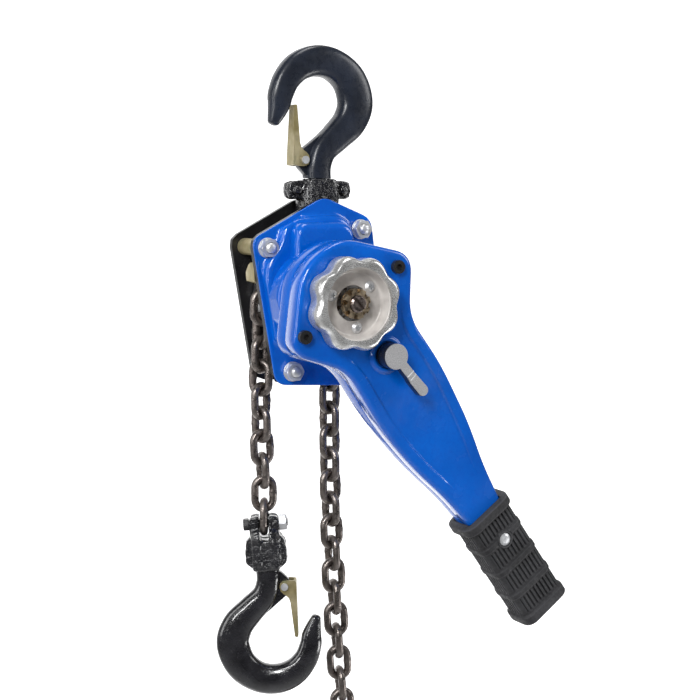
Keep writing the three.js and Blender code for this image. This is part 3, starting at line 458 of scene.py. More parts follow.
def linked(name, data):
    """A new object in the scene."""
    obj = bpy.data.objects.new(name, data)
    bpy.context.scene.collection.objects.link(obj)
    return obj


def mesh_of(name, shape, matrix, weld=False):
    """A shape as a mesh whose faces point out; weld joins the points that coincide."""
    mesh = bpy.data.meshes.new(name)
    mesh.from_pydata([matrix @ Vector(p) for p in shape[0]], [], shape[1])
    work = bmesh.new()
    work.from_mesh(mesh)
    if weld:
        bmesh.ops.remove_doubles(work, verts=work.verts, dist=WELD)
        bmesh.ops.dissolve_degenerate(work, edges=work.edges, dist=WELD)
    bmesh.ops.recalc_face_normals(work, faces=work.faces)
    work.to_mesh(mesh)
    work.free()
    return mesh


def piece(name, shape, matrix, material, body, nodes, sharp_degrees=40):
    """Makes an object from a shape, lets it ride on a CAD body and stand for CAD nodes."""
    mesh = mesh_of(name, shape, matrix, weld=True)
    smooth_shading(mesh, sharp_degrees)
    obj = linked(name, mesh)
    mesh.materials.append(material)
    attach(obj, body)
    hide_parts(*nodes)
    return obj


def applied(obj):
    """Turns an object's modifiers into its mesh."""
    graph = bpy.context.evaluated_depsgraph_get()
    mesh = bpy.data.meshes.new_from_object(obj.evaluated_get(graph))
    obj.modifiers.clear()
    obj.data = mesh
    return obj


def cut_away(obj, shape, matrix):
    """Takes a shape out of a piece."""
    cutter = linked("cutter", mesh_of("cutter", shape, matrix))
    cut = obj.modifiers.new("cut", "BOOLEAN")
    cut.operation = "DIFFERENCE"
    cut.object = cutter
    cut.solver = "EXACT"
    bpy.context.view_layer.update()
    applied(obj)
    bpy.data.objects.remove(cutter)
    smooth_shading(obj.data, 40)


def drill(obj, matrix, radius, y0, y1, x, z):
    """Bores a hole along Y into a piece, at (x, z)."""
    cut_away(obj, lathe([(radius, y0), (radius, y1)], 48, (x, z)), matrix)


# ------------------------ hooks

# From the neck round to the tip: x, z from the shank and saddle, half width, half thickness.
HOOK_STATIONS = [
    (0, -77, 9.9, 9.9), (0.3, -67, 9.9, 9.8), (5, -55.5, 10.3, 9.3), (17, -44.5, 11.4, 9), (28.5, -33, 13, 9),
    (33.5, -18.5, 13.8, 9), (28, -1.5, 13.2, 9), (14.5, 9.3, 12.2, 9), (-1, 11.9, 11.8, 9),
    (-15.5, 7.3, 11, 8.8), (-25.6, -2.5, 9.9, 8.4), (-30.6, -13.5, 9.2, 7.9), (-32, -21, 8.3, 7.3),
    (-33.8, -27.2, 6.7, 6.5), (-35.8, -32.6, 5, 5.4), (-37.6, -37.2, 3.4, 4),
]


def catmull_rom(stations, t):
    """A point and its direction on a smooth curve through the stations, with t from 0 to 1."""
    last = len(stations) - 1
    s = min(t * last, last - 1e-6)
    k = int(s)
    f = s - k
    p = [Vector(stations[min(max(k + i, 0), last)]) for i in (-1, 0, 1, 2)]
    value = 0.5 * (2 * p[1] + (p[2] - p[0]) * f + (2 * p[0] - 5 * p[1] + 4 * p[2] - p[3]) * f ** 2
                   + (3 * p[1] - p[0] - 3 * p[2] + p[3]) * f ** 3)
    slope = 0.5 * ((p[2] - p[0]) + 2 * (2 * p[0] - 5 * p[1] + 4 * p[2] - p[3]) * f
                   + 3 * (3 * p[1] - p[0] - 3 * p[2] + p[3]) * f ** 2)
    return value, slope


def forging(squareness):
    """The hook's body. The section's flats grow with squareness; 2 is an ellipse."""
    steps, sides = 110, 40
    rings = []
    for k in range(steps + 1):
        value, slope = catmull_rom(HOOK_STATIONS, k / steps)
        x, z, half_width, half_thick = value
        along = Vector((slope[0], slope[1])).normalized()
        rounding = 1.0
        if k > steps - 3:
            rounding = (0.92, 0.75, 0.4)[k - steps + 2]
        ring = []
        for i in range(sides):
            angle = 2 * math.pi * i / sides
            across = math.copysign(abs(math.cos(angle)) ** (2 / squareness), math.cos(angle))
            deep = math.copysign(abs(math.sin(angle)) ** (2 / squareness), math.sin(angle))
            # The throat side, at negative across, is thinner than the back.
            thin = 1 - 0.1 * max(-across, 0)
            across *= half_width * rounding
            ring.append((x - along.y * across, deep * half_thick * rounding * thin, z + along.x * across))
        rings.append(ring)
    return stack(rings)


def latch_boss():
    """The flat cheek on the hook's neck that carries the latch's rivet, at (x, z)."""
    x, z = -13.1, -63.1
    corners = [(x - 4.5, z + 5, 3), (5, z + 22, 2), (6, z - 10, 2), (x + 3, z - 12, 2), (x - 4.5, z - 4.5, 3)]
    profile = rounded([(0.6, 3.4, 0), (0, 3.4, 0.5), (0, -3.4, 0.5), (0.6, -3.4, 0)], 2)
    return slab(corners, profile)


def shank():
    """Shank and collar below the neck, which turn in the yoke."""
    profile = [(0, -95), (7, -95), (7, -76.5), (0, -76.5)]
    collar = [(0, -95), (9.5, -95), (9.5, -89), (0, -89)]
    upright = Matrix.Rotation(math.radians(90), 4, "X")
    return moved(merge(lathe(profile, 32), lathe(collar, 32)), upright)


def hook(level, matrix, squareness, material):
    shape = merge(forging(squareness), latch_boss(), shank())
    piece(f"{level}_hook_forging", shape, matrix, material, f"{level}_hook_body", [f"{level}_hook"],
          50)


hook("top", TOP_HOOK, 3.4, SATIN_BLACK)
hook("bottom", BOTTOM_HOOK, 2.5, HOOK_BLACK)


# ------------------------ forged yokes

def lumpy(name, node, body, voxel, smoothing, lumps):
    """A forging with soft edges and an uneven skin, grown from its CAD solid."""
    obj = linked(name, NODES[node].data.copy())
    remesh = obj.modifiers.new("skin", "REMESH")
    remesh.mode = "VOXEL"
    remesh.voxel_size = voxel
    soften = obj.modifiers.new("soften", "SMOOTH")
    soften.factor = 0.6
    soften.iterations = smoothing
    bpy.context.view_layer.update()
    applied(obj)
    for vertex in obj.data.vertices:
        vertex.co += vertex.normal * lumps * (noise.noise(vertex.co * 240) - 0.3)
    obj.data.shade_smooth()
    obj.data.materials.clear()
    obj.data.materials.append(YOKE_BLACK)
    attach(obj, body)
    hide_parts(node)


for side in ("front", "rear"):
    lumpy(f"top_yoke_{side}_forging", f"top_yoke_{side}", "top_yoke_body", 0.0011, 3, 0.0006)
    lumpy(f"bottom_yoke_{side}_forging", f"bottom_yoke_{side}", "bottom_yoke_body", 0.0009, 3, 0.0005)
for hand in ("left", "right"):
    lumpy(f"top_yoke_{hand}_rivet_head", f"top_yoke_{hand}_rivet", "top_yoke_body", 0.0007, 2, 0.0002)


# ------------------------ pressed covers

DIRECTIONS = [2 * math.pi * k / 240 for k in range(240)]


def reach_of(corners, inset=0.0):
    return polar(outline(corners, inset, 8), DIRECTIONS)


def min_reach(first, second):
    return [min(a, b) for a, b in zip(first, second)]


def ring_of(reaches, y):
    return [(r * math.cos(a), y, r * math.sin(a)) for r, a in zip(reaches, DIRECTIONS)]


# Raised features of the brake cover: the field round the shaft, the housing above it and the round drum.
FIELD = [(-24, 59, 9), (-29, 40, 9), (-40, 27, 9), (-41, -8, 16), (-32, -34, 16), (0, -46, 26), (30, -36, 18),
         (43, -6, 16), (41, 28, 12), (33, 41, 5), (31.5, 56, 8), (21, 62, 7), (0, 61.5, 9)]
HOUSING = [(-20, 57, 9), (-22, 20, 4), (28, 20, 4), (28, 57, 12)]


class Feature:
    """A raised part of a pressing, with a soft edge round its top and a soft foot."""

    def __init__(self, reaches, depth, edge, foot):
        self.reaches = reaches
        self.depth = depth
        self.edge = edge
        self.foot = foot

    def at(self, depth, base):
        if depth > self.depth:
            return [0.0] * len(self.reaches)
        into_edge = max(depth - (self.depth - self.edge), 0)
        into_foot = max(self.foot - (depth - base), 0)
        move = math.sqrt(self.edge ** 2 - into_edge ** 2) - self.edge
        move += self.foot - math.sqrt(max(self.foot ** 2 - into_foot ** 2, 0))
        return [r + move for r in self.reaches]


def pressing(features, base, limit):
    """Rings (depth, reaches) from the flange up over the features. limit keeps their feet on the flange."""
    tops = sorted({f.depth for f in features})
    depths = sorted({base + (tops[-1] - base) * k / 44 for k in range(45)} | set(tops))
    rings = []
    for depth in depths:
        risen = [min_reach(f.at(depth, base), limit) for f in features]
        rings.append((depth, [max(r) for r in zip(*risen)]))
        if depth in tops[:-1]:
            above = [min_reach(f.at(depth + 1e-4, base), limit) for f in features]
            rings.append((depth + 0.02, [max(r) for r in zip(*above)]))
    return rings


def brake_cover():
    """Flange, raised field, housing and drum pressed from one sheet, and the collar the hub turns in."""
    flange = rounded([(0.4, FLANGE_BACK, 0), (0, FLANGE_BACK + 0.2, 0.2), (0, FLANGE_FACE, 1),
                      (2.5, FLANGE_FACE, 0)], 4)
    rings = [ring_of(reach_of(FRAME_CORNERS, inset), -depth) for inset, depth in flange]
    drum = Feature([COVER_RADIUS] * len(DIRECTIONS), COVER_DEPTH, edge=7, foot=3)
    housing = Feature(reach_of(HOUSING), 42, edge=6, foot=4)
    field = Feature(reach_of(FIELD), 31, edge=4.5, foot=3.2)
    limit = reach_of(FRAME_CORNERS, 3)
    raised = pressing([field, housing, drum], FLANGE_FACE, limit)
    rings += [ring_of(reaches, -depth) for depth, reaches in raised]
    collar_front = COVER_DEPTH + 4.5
    inside_depth = COVER_DEPTH - SHEET
    inside_radius = COVER_RADIUS - SHEET
    collar = rounded([(17, COVER_DEPTH, 0), (15.6, COVER_DEPTH, 0.8), (15.6, collar_front, 0.6),
                      (13.5, collar_front, 0.4), (13.5, inside_depth, 0), (27, inside_depth, 0),
                      (inside_radius, inside_depth, 6), (inside_radius, FLANGE_BACK, 0)], 4)
    rings.extend(ring_of([radius] * len(DIRECTIONS), -depth) for radius, depth in collar)
    return stack(rings, closed=True)


piece("brake_cover_pressing", brake_cover(), SHEAVE, BLUE, "frame_body", ["brake_cover"])


def capsule(radius):
    """A long round-ended outline over the three gear axles."""
    points = []
    for half in (0, math.pi):
        middle = GEAR_DIRECTION + half
        centre = Vector((math.cos(middle), math.sin(middle))) * GEAR_CENTRES
        for k in range(49):
            angle = middle - math.pi / 2 + math.pi * k / 48
            points.append(centre + Vector((math.cos(angle), math.sin(angle))) * radius)
    return polar(points, DIRECTIONS)


def gear_cover():
    """Its flange stands back a little from the side plate's edge."""
    flange = rounded([(1.8, FLANGE_BACK, 0), (1.4, FLANGE_BACK + 0.2, 0.2), (1.4, FLANGE_FACE, 1),
                      (4, FLANGE_FACE, 0)], 4)
    rings = [ring_of(reach_of(FRAME_CORNERS, inset), depth) for inset, depth in flange]
    wall = rounded([(-3.5, FLANGE_FACE, 0), (0, FLANGE_FACE, 3.4), (0.6, COVER_DEPTH, 6),
                    (10, COVER_DEPTH, 0)], 7)
    edge = reach_of(FRAME_CORNERS, 4.2)
    for inset, depth in wall:
        rings.append(ring_of(min_reach(capsule(GEAR_COVER_RADIUS - inset), edge), depth))
    # A shallow oval field is pressed back into the end wall.
    field = rounded([(12, COVER_DEPTH, 0), (14, COVER_DEPTH, 1), (15, COVER_DEPTH - 1, 1),
                     (17, COVER_DEPTH - 1, 0)], 3)
    rings.extend(ring_of(capsule(GEAR_COVER_RADIUS - inset), depth) for inset, depth in field)
    return stack(rings)


def cover_inside():
    """The hollow that the gears turn in."""
    depth = COVER_DEPTH - SHEET
    profile = rounded([(SHEET, FLANGE_BACK - 1, 0), (SHEET, depth, 3), (9, depth, 0)], 3)
    return stack([ring_of(capsule(GEAR_COVER_RADIUS - inset), depth) for inset, depth in profile])


cover = piece("gear_cover_pressing", gear_cover(), SHEAVE, BLUE, "frame_body", ["gear_cover"])
cut_away(cover, cover_inside(), SHEAVE)


# ------------------------ lever

def lever_half_depth(down):
    stations = LEVER_HALF_DEPTHS
    if down <= stations[0][0]:
        return stations[0][1]
    for (start, before), (end, after) in zip(stations, stations[1:]):
        if down <= end:
            return before + (after - before) * smoothstep((down - start) / (end - start))
    return stations[-1][1]


LEVER_SEGMENTS = 8


def lever_ring(inset, depth_of):
    """A ring of the lever's outline; depth_of gives each point's distance from the split plane."""
    half, height, cut = LEVER_CROWN
    right = [(x, -down, corner) for x, down, corner in LEVER_CORNERS]
    left = [(-x, z, corner) for x, z, corner in reversed(right)]
    points = outline([(-half, height, cut), (half, height, cut)] + right + left, inset, LEVER_SEGMENTS)
    return [(p.x, depth_of(-p.y), p.y) for p in points]


def rungs(start, count, flip):
    """Quads across a ring of the lever, from each point to its mirror image. They close the ring."""
    faces = []
    top = LEVER_SEGMENTS + 1
    for i in range(top, top + count // 2 - 1):
        corners = [i, i + 1, 2 * top - 2 - i, 2 * top - 1 - i]
        face = tuple(start + c % count for c in corners)
        faces.append(face[::-1] if flip else face)
    return faces


def lever_shell(side):
    """Half of the lever: a deep pressing. A lower field runs down its neck and fades out towards the grip."""
    outer, inner = [], []

    def add(rings, inset, depth_of):
        rings.append(lever_ring(inset, lambda down: LEVER_MIDDLE - side * depth_of(down)))

    add(outer, 0.8, lambda down: GAP / 2)
    add(outer, 0.25, lambda down: GAP / 2 + 0.15)
    add(outer, 0, lambda down: GAP / 2 + 0.7)
    for inset, drop in rounded([(0, 9, 0), (0, 0, 6.5), (9, 0, 0)], 8)[1:-1]:
        add(outer, inset, lambda down, drop=drop: lever_half_depth(down) - drop)
    field_drop, field_start, field_end = 1.3, 28, 190
    for inset, drop in rounded([(8, 0, 0), (9.2, 0, 1), (10.8, field_drop, 1), (12, field_drop, 0)], 4):
        add(outer, inset, lambda down, drop=drop: lever_half_depth(down)
            - drop * smoothstep((down - field_start) / 22) * smoothstep((field_end - down) / 45))
    add(inner, 12, lambda down: lever_half_depth(down) - SHEET - field_drop)
    add(inner, SHEET + 1, lambda down: lever_half_depth(down) - SHEET)
    add(inner, SHEET, lambda down: lever_half_depth(down) - SHEET - 2)
    add(inner, SHEET, lambda down: GAP / 2)
    count = len(outer[0])
    # The walls of both skins without their end caps, then a ladder of quads over each, then the split face.
    outer_shape, inner_shape = stack(outer), stack(inner)
    outer_shape = (outer_shape[0], outer_shape[1][:-2] + rungs((len(outer) - 1) * count, count, False))
    inner_shape = (inner_shape[0], inner_shape[1][:-2] + rungs(0, count, True))
    points, faces = merge(outer_shape, inner_shape)
    seam = len(points) - count
    for i in range(count):
        j = (i + 1) % count
        faces.append((i, j, seam + j, seam + i))
    return points, faces


for side, shell, bore in ((1, "outer", 22.5), (-1, "inner", 16)):
    skin = piece(f"lever_{shell}_pressing", lever_shell(side), LEVER, BLUE, "lever_body",
                 [f"lever_{shell}_shell"])
    drill(skin, LEVER, bore, -100, -30, -LEVER_SHIFT, 0)


def grip():
    """A rubber sleeve with a collar, three bands, lengthwise grooves between them and an end flange."""
    section = resampled(box_outline(GRIP_HALF_X, GRIP_HALF_Y, 8, 8), GRIP_SIDES)
    face = GRIP_HALF_Y - 2.5
    seat = 7.4

    def swell(down):
        collar = smoothstep((down + 0.01) / 1.2) * smoothstep((9 - down) / 1.6)
        end = smoothstep((down - GRIP_LENGTH + 10) / 2) * smoothstep((GRIP_LENGTH + 0.4 - down) / 2)
        bands = sum(smoothstep((2.9 - abs(down - band)) / 0.9) for band in GRIP_BANDS)
        return 3 * collar + 2 * end + 0.9 * bands

    def groove(x, y, down):
        """Depth of the lengthwise grooves at a point of the section."""
        edges = (9, *[e for band in GRIP_BANDS for e in (band - 3, band + 3)], GRIP_LENGTH - 10)
        bay = 0.0
        for start, end in zip(edges[::2], edges[1::2]):
            bay = max(bay, smoothstep((down - start - 0.6) / 1.2) * smoothstep((end - 0.6 - down) / 1.2))
        pitch = 3.7
        place, reach = (x, 16.6) if abs(y) > face else (y, 9)
        if abs(place) > reach:
            return 0.0
        phase = abs((place / pitch) % 1 - 0.5) * 2
        clear_of_rivet = smoothstep(math.hypot(x, down - GRIP_RIVET) - seat) if abs(y) > face else 1.0
        return 1.6 * bay * clear_of_rivet * smoothstep((0.5 - phase) / 0.18)

    rings = []
    steps = 190
    for k in range(steps + 1):
        down = GRIP_LENGTH * k / steps
        ring = []
        for p, normal in section:
            out = swell(down) - groove(p.x, p.y, down)
            from_rivet = math.hypot(p.x, down - GRIP_RIVET)
            if abs(p.y) > face and from_rivet < seat:
                out = 1.1 * smoothstep((seat - from_rivet) / 0.8) * smoothstep((from_rivet - 5.2) / 0.5)
            q = p + normal * out
            ring.append((q.x, LEVER_MIDDLE + q.y, -GRIP_START - down))
        rings.append(ring)
    hollow_section = resampled(box_outline(17.7, 12, 0.8, 8), GRIP_SIDES)
    for down in (GRIP_LENGTH - 14, 0):
        rings.append([(p.x, LEVER_MIDDLE + p.y, -GRIP_START - down) for p, _ in hollow_section])
    points, faces = stack(rings, closed=True)
    count = len(section)
    # The end of the sleeve is closed, outside and in.
    far = steps * count
    faces = [f for f in faces if not far <= min(f) < far + count or max(f) < far + count]
    faces.append(tuple(range(far, far + count)))
    faces.append(tuple(range(far + count, far + 2 * count)))
    return points, faces


piece("ribbed_grip", grip(), LEVER, RUBBER, "lever_body", ["grip"], 60)


# ------------------------ selector

# A ring pressed out of the lever round the knob's hub.
seat = rounded([(10.2, -79.5, 0), (10.2, -83.2, 0.8), (12.6, -83.2, 1.6), (15.5, -79.5, 0)], 4)
piece("selector_seat", lathe(seat, 64, closed=True), SELECTOR, BLUE, "lever_body", [])


def knob_outline(disc, arm, length, inset):
    """A disc with an arm pointing down."""
    disc, arm, length = disc - inset, arm - inset, length - inset
    meet = math.asin(arm / disc)
    points = []
    for k in range(41):
        angle = -math.pi / 2 + meet + (2 * math.pi - 2 * meet) * k / 40
        points.append(Vector((disc * math.cos(angle), disc * math.sin(angle))))
    points.append(Vector((-arm, -length * 0.5)))
    points.append(Vector((-arm - 0.8, -length * 0.6)))
    tip = arm + 0.8
    for k in range(1, 13):
        angle = math.pi + math.pi * k / 12
        points.append(Vector((tip * math.cos(angle), -length + tip + tip * math.sin(angle))))
    points.append(Vector((arm, -length * 0.5)))
    return points


def knob_slice(disc, arm, length, profile):
    return stack([[(p.x, y, p.y) for p in knob_outline(disc, arm, length, inset)] for inset, y in profile])


knob_rear, knob_front = -88.5, -95
knob_profile = rounded([(1, knob_rear, 0), (0, knob_rear, 0.8), (0, knob_front, 0.8), (1, knob_front, 0)], 3)
knob_hub = lathe(rounded([(4.3, -82.6, 0), (9.5, -82.6, 0.6), (9.5, -90, 0), (4.3, -90, 0)], 3), 48,
                 closed=True)
knob = merge(knob_slice(9.5, 3.6, SELECTOR_ARM, knob_profile), knob_hub)
piece("selector_knob_moulding", knob, SELECTOR, KNOB_BLACK, "selector_body", ["selector_knob"])
face_profile = rounded([(0.2, -95.2, 0), (0, -95.2, 0.1), (0, -96.3, 0.35), (1, -96.3, 0)], 3)
face = knob_slice(9.4, 3.4, SELECTOR_ARM - 0.4, face_profile)


def cross_rib(down):
    low, high = -down - 0.5, -down + 0.5
    corners = [(-3.4, low, 0.3), (3.4, low, 0.3), (3.4, high, 0.3), (-3.4, high, 0.3)]
    profile = ((0, -96), (0, -96.6), (0.3, -96.8))
    return slab(corners, profile, 3)


piece("selector_face", face, SELECTOR, SILVER, "selector_body", ["selector_face_plate"])
ribs = merge(cross_rib(17.5), cross_rib(21))
piece("selector_face_ribs", ribs, SELECTOR, ZINC, "selector_body", [])


# ------------------------ hand wheel

def hand_wheel():
    """A lobed rim round a conical recess, open at the back for its plate."""
    # weight says how much of the lobes a ring takes: all of them outside, none at the recess.
    outside = rounded([(4, WHEEL_REAR, 0), (0.4, WHEEL_REAR, 1.5), (0, WHEEL_FRONT + 5, 3.5),
                       (2.2, WHEEL_FRONT, 3.5), (7, WHEEL_FRONT + 0.3, 1.5)], 7)
    steps = 240
    rings = []

    def ring(radius, y, weight):
        points = []
        for k in range(steps):
            angle = 2 * math.pi * k / steps
            wave = math.cos(WHEEL_LOBES * (angle - WHEEL_TURN))
            # Wide round lobes with narrower hollows between them.
            lobe = WHEEL_LOBE * (wave + 0.22 * (1 - wave * wave))
            reach = radius + weight * lobe
            points.append((reach * math.cos(angle), y, reach * math.sin(angle)))
        rings.append(points)

    for inset, y in outside:
        ring(WHEEL_RADIUS - inset, y, 1 - smoothstep(inset / 7.5))
    recess = rounded([(27.6, WHEEL_FRONT + 0.4, 0), (26.6, WHEEL_FRONT + 0.6, 0.8),
                      (26.2, WHEEL_FRONT + 3.2, 0.4), (25.6, WHEEL_FRONT + 3.4, 0.3),
                      (23.4, WHEEL_FLOOR, 1.8), (12.8, WHEEL_FLOOR, 0.8), (12.8, -86, 0), (29, -86, 0),
                      (30, WHEEL_REAR, 0)], 5)
    for radius, y in recess:
        ring(radius, y, 0)
    return stack(rings, closed=True)


wheel = piece("lobed_hand_wheel", hand_wheel(), SHEAVE, WHEEL, "hand_wheel_body", ["hand_wheel"])
# The faces inside the recess, within this radius and in front of this depth in metres, are as cast.
recess_radius, recess_back = 0.0262, -0.086
wheel.data.materials.append(WHEEL_RECESS)
axis = SHEAVE @ Vector((0, 0, 0))
for polygon in wheel.data.polygons:
    from_axis = math.hypot(polygon.center.x - axis.x, polygon.center.z - axis.z)
    if from_axis < recess_radius and polygon.center.y < recess_back:
        polygon.material_index = 1
for angle in WHEEL_SCREW_ANGLES:
    x = WHEEL_SCREW_RADIUS * math.cos(angle)
    z = WHEEL_SCREW_RADIUS * math.sin(angle)
    drill(wheel, SHEAVE, 2.4, -120, -80, x, z)


# ------------------------ chain

def link_shape():
    """One link in the XZ plane, its length along Z, with the weld's swelling on one side."""
    wire = LINK_WIRE / 2
    bend = LINK_WIDTH / 2 - wire
    straight = (LINK_PITCH - LINK_BITE) / 2 + wire - bend
    path = []
    for side in (1, -1):
        for k in range(5):
            path.append((Vector((side * bend, side * straight * (k / 2 - 1))), Vector((side, 0))))
        for k in range(1, 12):
            angle = math.pi * k / 12 + (0 if side > 0 else math.pi)
            out = Vector((math.cos(angle), math.sin(angle)))
            path.append((out * bend + Vector((0, side * straight)), out))
    rings = []
    sides = 14
    for centre, out in path:
        weld = 0.35 * math.exp(-(centre.y / 1.3) ** 2) if centre.x > 0 else 0.0
        ring = []
        for i in range(sides):
            angle = 2 * math.pi * i / sides
            flat = centre + out * (wire + weld) * math.cos(angle)
            ring.append((flat.x, (wire + weld) * math.sin(angle), flat.y))
        rings.append(ring)
    return stack(rings, closed=True)


LINK = link_shape()


def placed_link(x, z, yaw, lean, y=0.0):
    turned = Matrix.Rotation(lean, 4, "Y") @ Matrix.Rotation(yaw, 4, "Z")
    return moved(LINK, Matrix.Translation((x, y, z)) @ turned)


# Both strands hang a little out of plumb and their links turn slowly along them.

def load_strand_x(z):
    return -STRAND_X - 2.2 * math.sin(math.pi * min(-z, 150) / 150)


def slack_strand_x(z):
    return STRAND_X + 0.0403 * z + 0.000209 * z * z


def load_twist(k):
    return math.radians(12 * k if k < 3 else 36 - 10.75 * (k - 3))


def slack_twist(k):
    return math.radians(16) * math.sin(k * math.pi / 11)


def strand(count, strand_x, twist):
    links = []
    for k in range(count):
        z = STRAND_START - LINK_PITCH * (k + 0.5)
        lean = math.atan2(strand_x(z + 1) - strand_x(z - 1), 2)
        links.append(placed_link(strand_x(z), z, (k % 2) * math.pi / 2 + twist(k), lean))
    return merge(*links)


def sheave_links():
    links = []
    for k in range(POCKETS):
        angle = math.pi - CHAIN_STEP * (k + 0.5)
        yaw = math.pi / 2 if k % 2 == 0 else 0
        links.append(placed_link(CHAIN_APOTHEM * math.cos(angle), CHAIN_APOTHEM * math.sin(angle), yaw,
                                 math.pi - angle))
    return merge(*links)


def hank():
    """The spare slack chain, folded into upright runs of seven links joined top and bottom."""
    top = STRAND_START - LINK_PITCH * SLACK_LINKS - LINK_WIRE - GAP
    centre_x = slack_strand_x(top)
    run_links, pitch_x, pitch_y = 7, 19, 20
    first = top - (HANK_LENGTH - (run_links - 1) * LINK_PITCH) / 2
    # Two links lead from the end of the strand down into the middle of the bundle.
    links = []
    for k in (SLACK_LINKS, SLACK_LINKS + 1):
        z = STRAND_START - LINK_PITCH * (k + 0.5)
        links.append(placed_link(centre_x, z, (k % 2) * math.pi / 2 + slack_twist(k), 0))
    for row in range(HANK_ROWS):
        y = pitch_y * (row - (HANK_ROWS - 1) / 2)
        for run in range(HANK_RUNS):
            x = centre_x + pitch_x * (run - (HANK_RUNS - 1) / 2)
            for k in range(run_links):
                yaw = math.radians(45) + (k % 2) * math.pi / 2
                links.append(placed_link(x, first - LINK_PITCH * k, yaw, 0.02 * (-1) ** k, y))
            if run < HANK_RUNS - 1:
                end = first + 12 if run % 2 == 0 else first - LINK_PITCH * (run_links - 1) - 12
                links.append(placed_link(x + pitch_x / 2, end, math.radians(90), math.pi / 2, y))
    return merge(*links)


def chain(node, shape, body):
    piece(f"{node}_links", shape, SHEAVE, CHAIN_STEEL, body, [node])


chain("load_chain", strand(LOAD_LINKS, load_strand_x, load_twist), "load_chain_body")
chain("sheave_chain", sheave_links(), "sheave_body")
chain("slack_chain", strand(SLACK_LINKS, slack_strand_x, slack_twist), "slack_chain_body")
chain("slack_chain_hank", hank(), "slack_chain_body")


# ------------------------ stays and their nuts

def hexagon(across, y0, y1, centre=(0, 0), bore=0.0, chamfer=0.12):
    """A hexagon nut or head along Y, chamfered at y0; across is over its corners."""
    steps = 72
    x, z = centre
    deep = across / 2 * chamfer * math.copysign(1, y1 - y0)
    levels = [(0.9, y0), (0.95, y0 + deep * 0.35), (1.0, y0 + deep), (1.02, y0 + deep * 1.5), (1.02, y1)]
    rings = []
    for limit, y in levels:
        ring = []
        for k in range(steps):
            angle = 2 * math.pi * k / steps
            flat = across / 2 * math.cos(math.pi / 6) / math.cos((angle % (math.pi / 3)) - math.pi / 6)
            reach = min(flat, across / 2 * limit)
            ring.append((x + reach * math.cos(angle), y, z + reach * math.sin(angle)))
        rings.append(ring)
    if bore:
        for y in (y1, y0):
            turns = [2 * math.pi * k / steps for k in range(steps)]
            rings.append([(x + bore * math.cos(angle), y, z + bore * math.sin(angle)) for angle in turns])
    return stack(rings, closed=bool(bore))


def stay(x, z, shoulder):
    """A shouldered stay: head at the rear, threaded end at the front, domed and bright."""
    rod = [(0, -33), (2.2, -32.8), (3.3, -32.2), (3.8, -31.4)]
    threads = 9
    for k in range(threads):
        y = -31.2 + k * 1.1
        rod += [(3.9, y), (3.9, y + 0.35), (3.45, y + 0.6), (3.45, y + 0.85)]
    rod += [(4, -21), (4, -PLATE_INSIDE), (shoulder - 0.5, -PLATE_INSIDE), (shoulder, -PLATE_INSIDE + 0.5),
            (shoulder, PLATE_INSIDE - 0.5), (shoulder - 0.5, PLATE_INSIDE), (4, PLATE_INSIDE), (4, 24),
            (0, 24)]
    return merge(lathe(rod, 40, (x, z)), hexagon(NUT_ACROSS, 29.1, 23.6, (x, z)))


def stay_nut(x, z):
    profile = rounded([(4.3, -23.6, 0), (7.6, -23.6, 0.2), (7.6, -24.9, 0.5), (4.3, -24.9, 0)], 3)
    washer = lathe(profile, 48, (x, z), True)
    return merge(hexagon(NUT_ACROSS, -30.1, -24.5, (x, z), 4.3), washer)


BRIGHT_END = -0.02                      # in metres

for name, (x, z, shoulder) in STAYS.items():
    bolt = piece(f"{name}_stay_bolt", stay(x, z, shoulder), SHEAVE, YELLOW_ZINC, "frame_body",
                 [f"{name}_stay"])
    bolt.data.materials.append(ZINC)
    # From the front side plate forwards the thread is bright.
    for polygon in bolt.data.polygons:
        if polygon.center.y < BRIGHT_END:
            polygon.material_index = 1
    piece(f"{name}_stay_hexagon", stay_nut(x, z), SHEAVE, ZINC, "frame_body", [f"{name}_stay_nut"],
          30)


# ------------------------ chain guide

def chain_tongue():
    """A curled tongue on the front side plate that steers the load chain; its section lies across X."""
    corners = [(-PLATE_INSIDE, 15, 0.5), (-3.5, 12.5, 2), (-1.5, 19, 5), (-8, 27, 7),
               (-PLATE_INSIDE, 27.5, 0.5)]
    curl = rounded([(0.5, -44.6, 0), (0, -44.4, 0.2), (0, -43, 0.2), (0.5, -42.8, 0)], 2)
    face = stack([[(x, p.x, p.y) for p in outline(corners, inset)] for inset, x in curl])
    lip_corners = [(-44, 15, 0.4), (-44, 13, 2), (-37, 10.5, 1), (-36.6, 12.3, 0.6), (-42.2, 15, 1)]
    lip = slab(lip_corners, ((0, -PLATE_INSIDE), (0, -5)))
    return merge(face, lip)


piece("chain_tongue", chain_tongue(), SHEAVE, YELLOW_ZINC, "frame_body", ["chain_guide"])


# ------------------------ chain bolt

ALONG_X = Matrix.Rotation(math.radians(90), 4, "Z")
bolt_body = lathe(rounded([(0, -18.3, 0), (3.2, -18.3, 1), (3.2, 12, 0), (0, 12, 0)], 4), 32)
bolt_shape = moved(merge(bolt_body, hexagon(10, 16, 11.8)), ALONG_X)
piece("chain_bolt_forging", bolt_shape, BOTTOM, KNOB_BLACK, "bottom_yoke_body", ["chain_bolt"],
      30)
nut_shape = moved(hexagon(12.6, -17.5, -11.8, bore=3.5), ALONG_X)
piece("chain_bolt_hexagon", nut_shape, BOTTOM, ZINC, "bottom_yoke_body", ["chain_bolt_nut"],
      30)


# ------------------------ machined parts keep their CAD shape

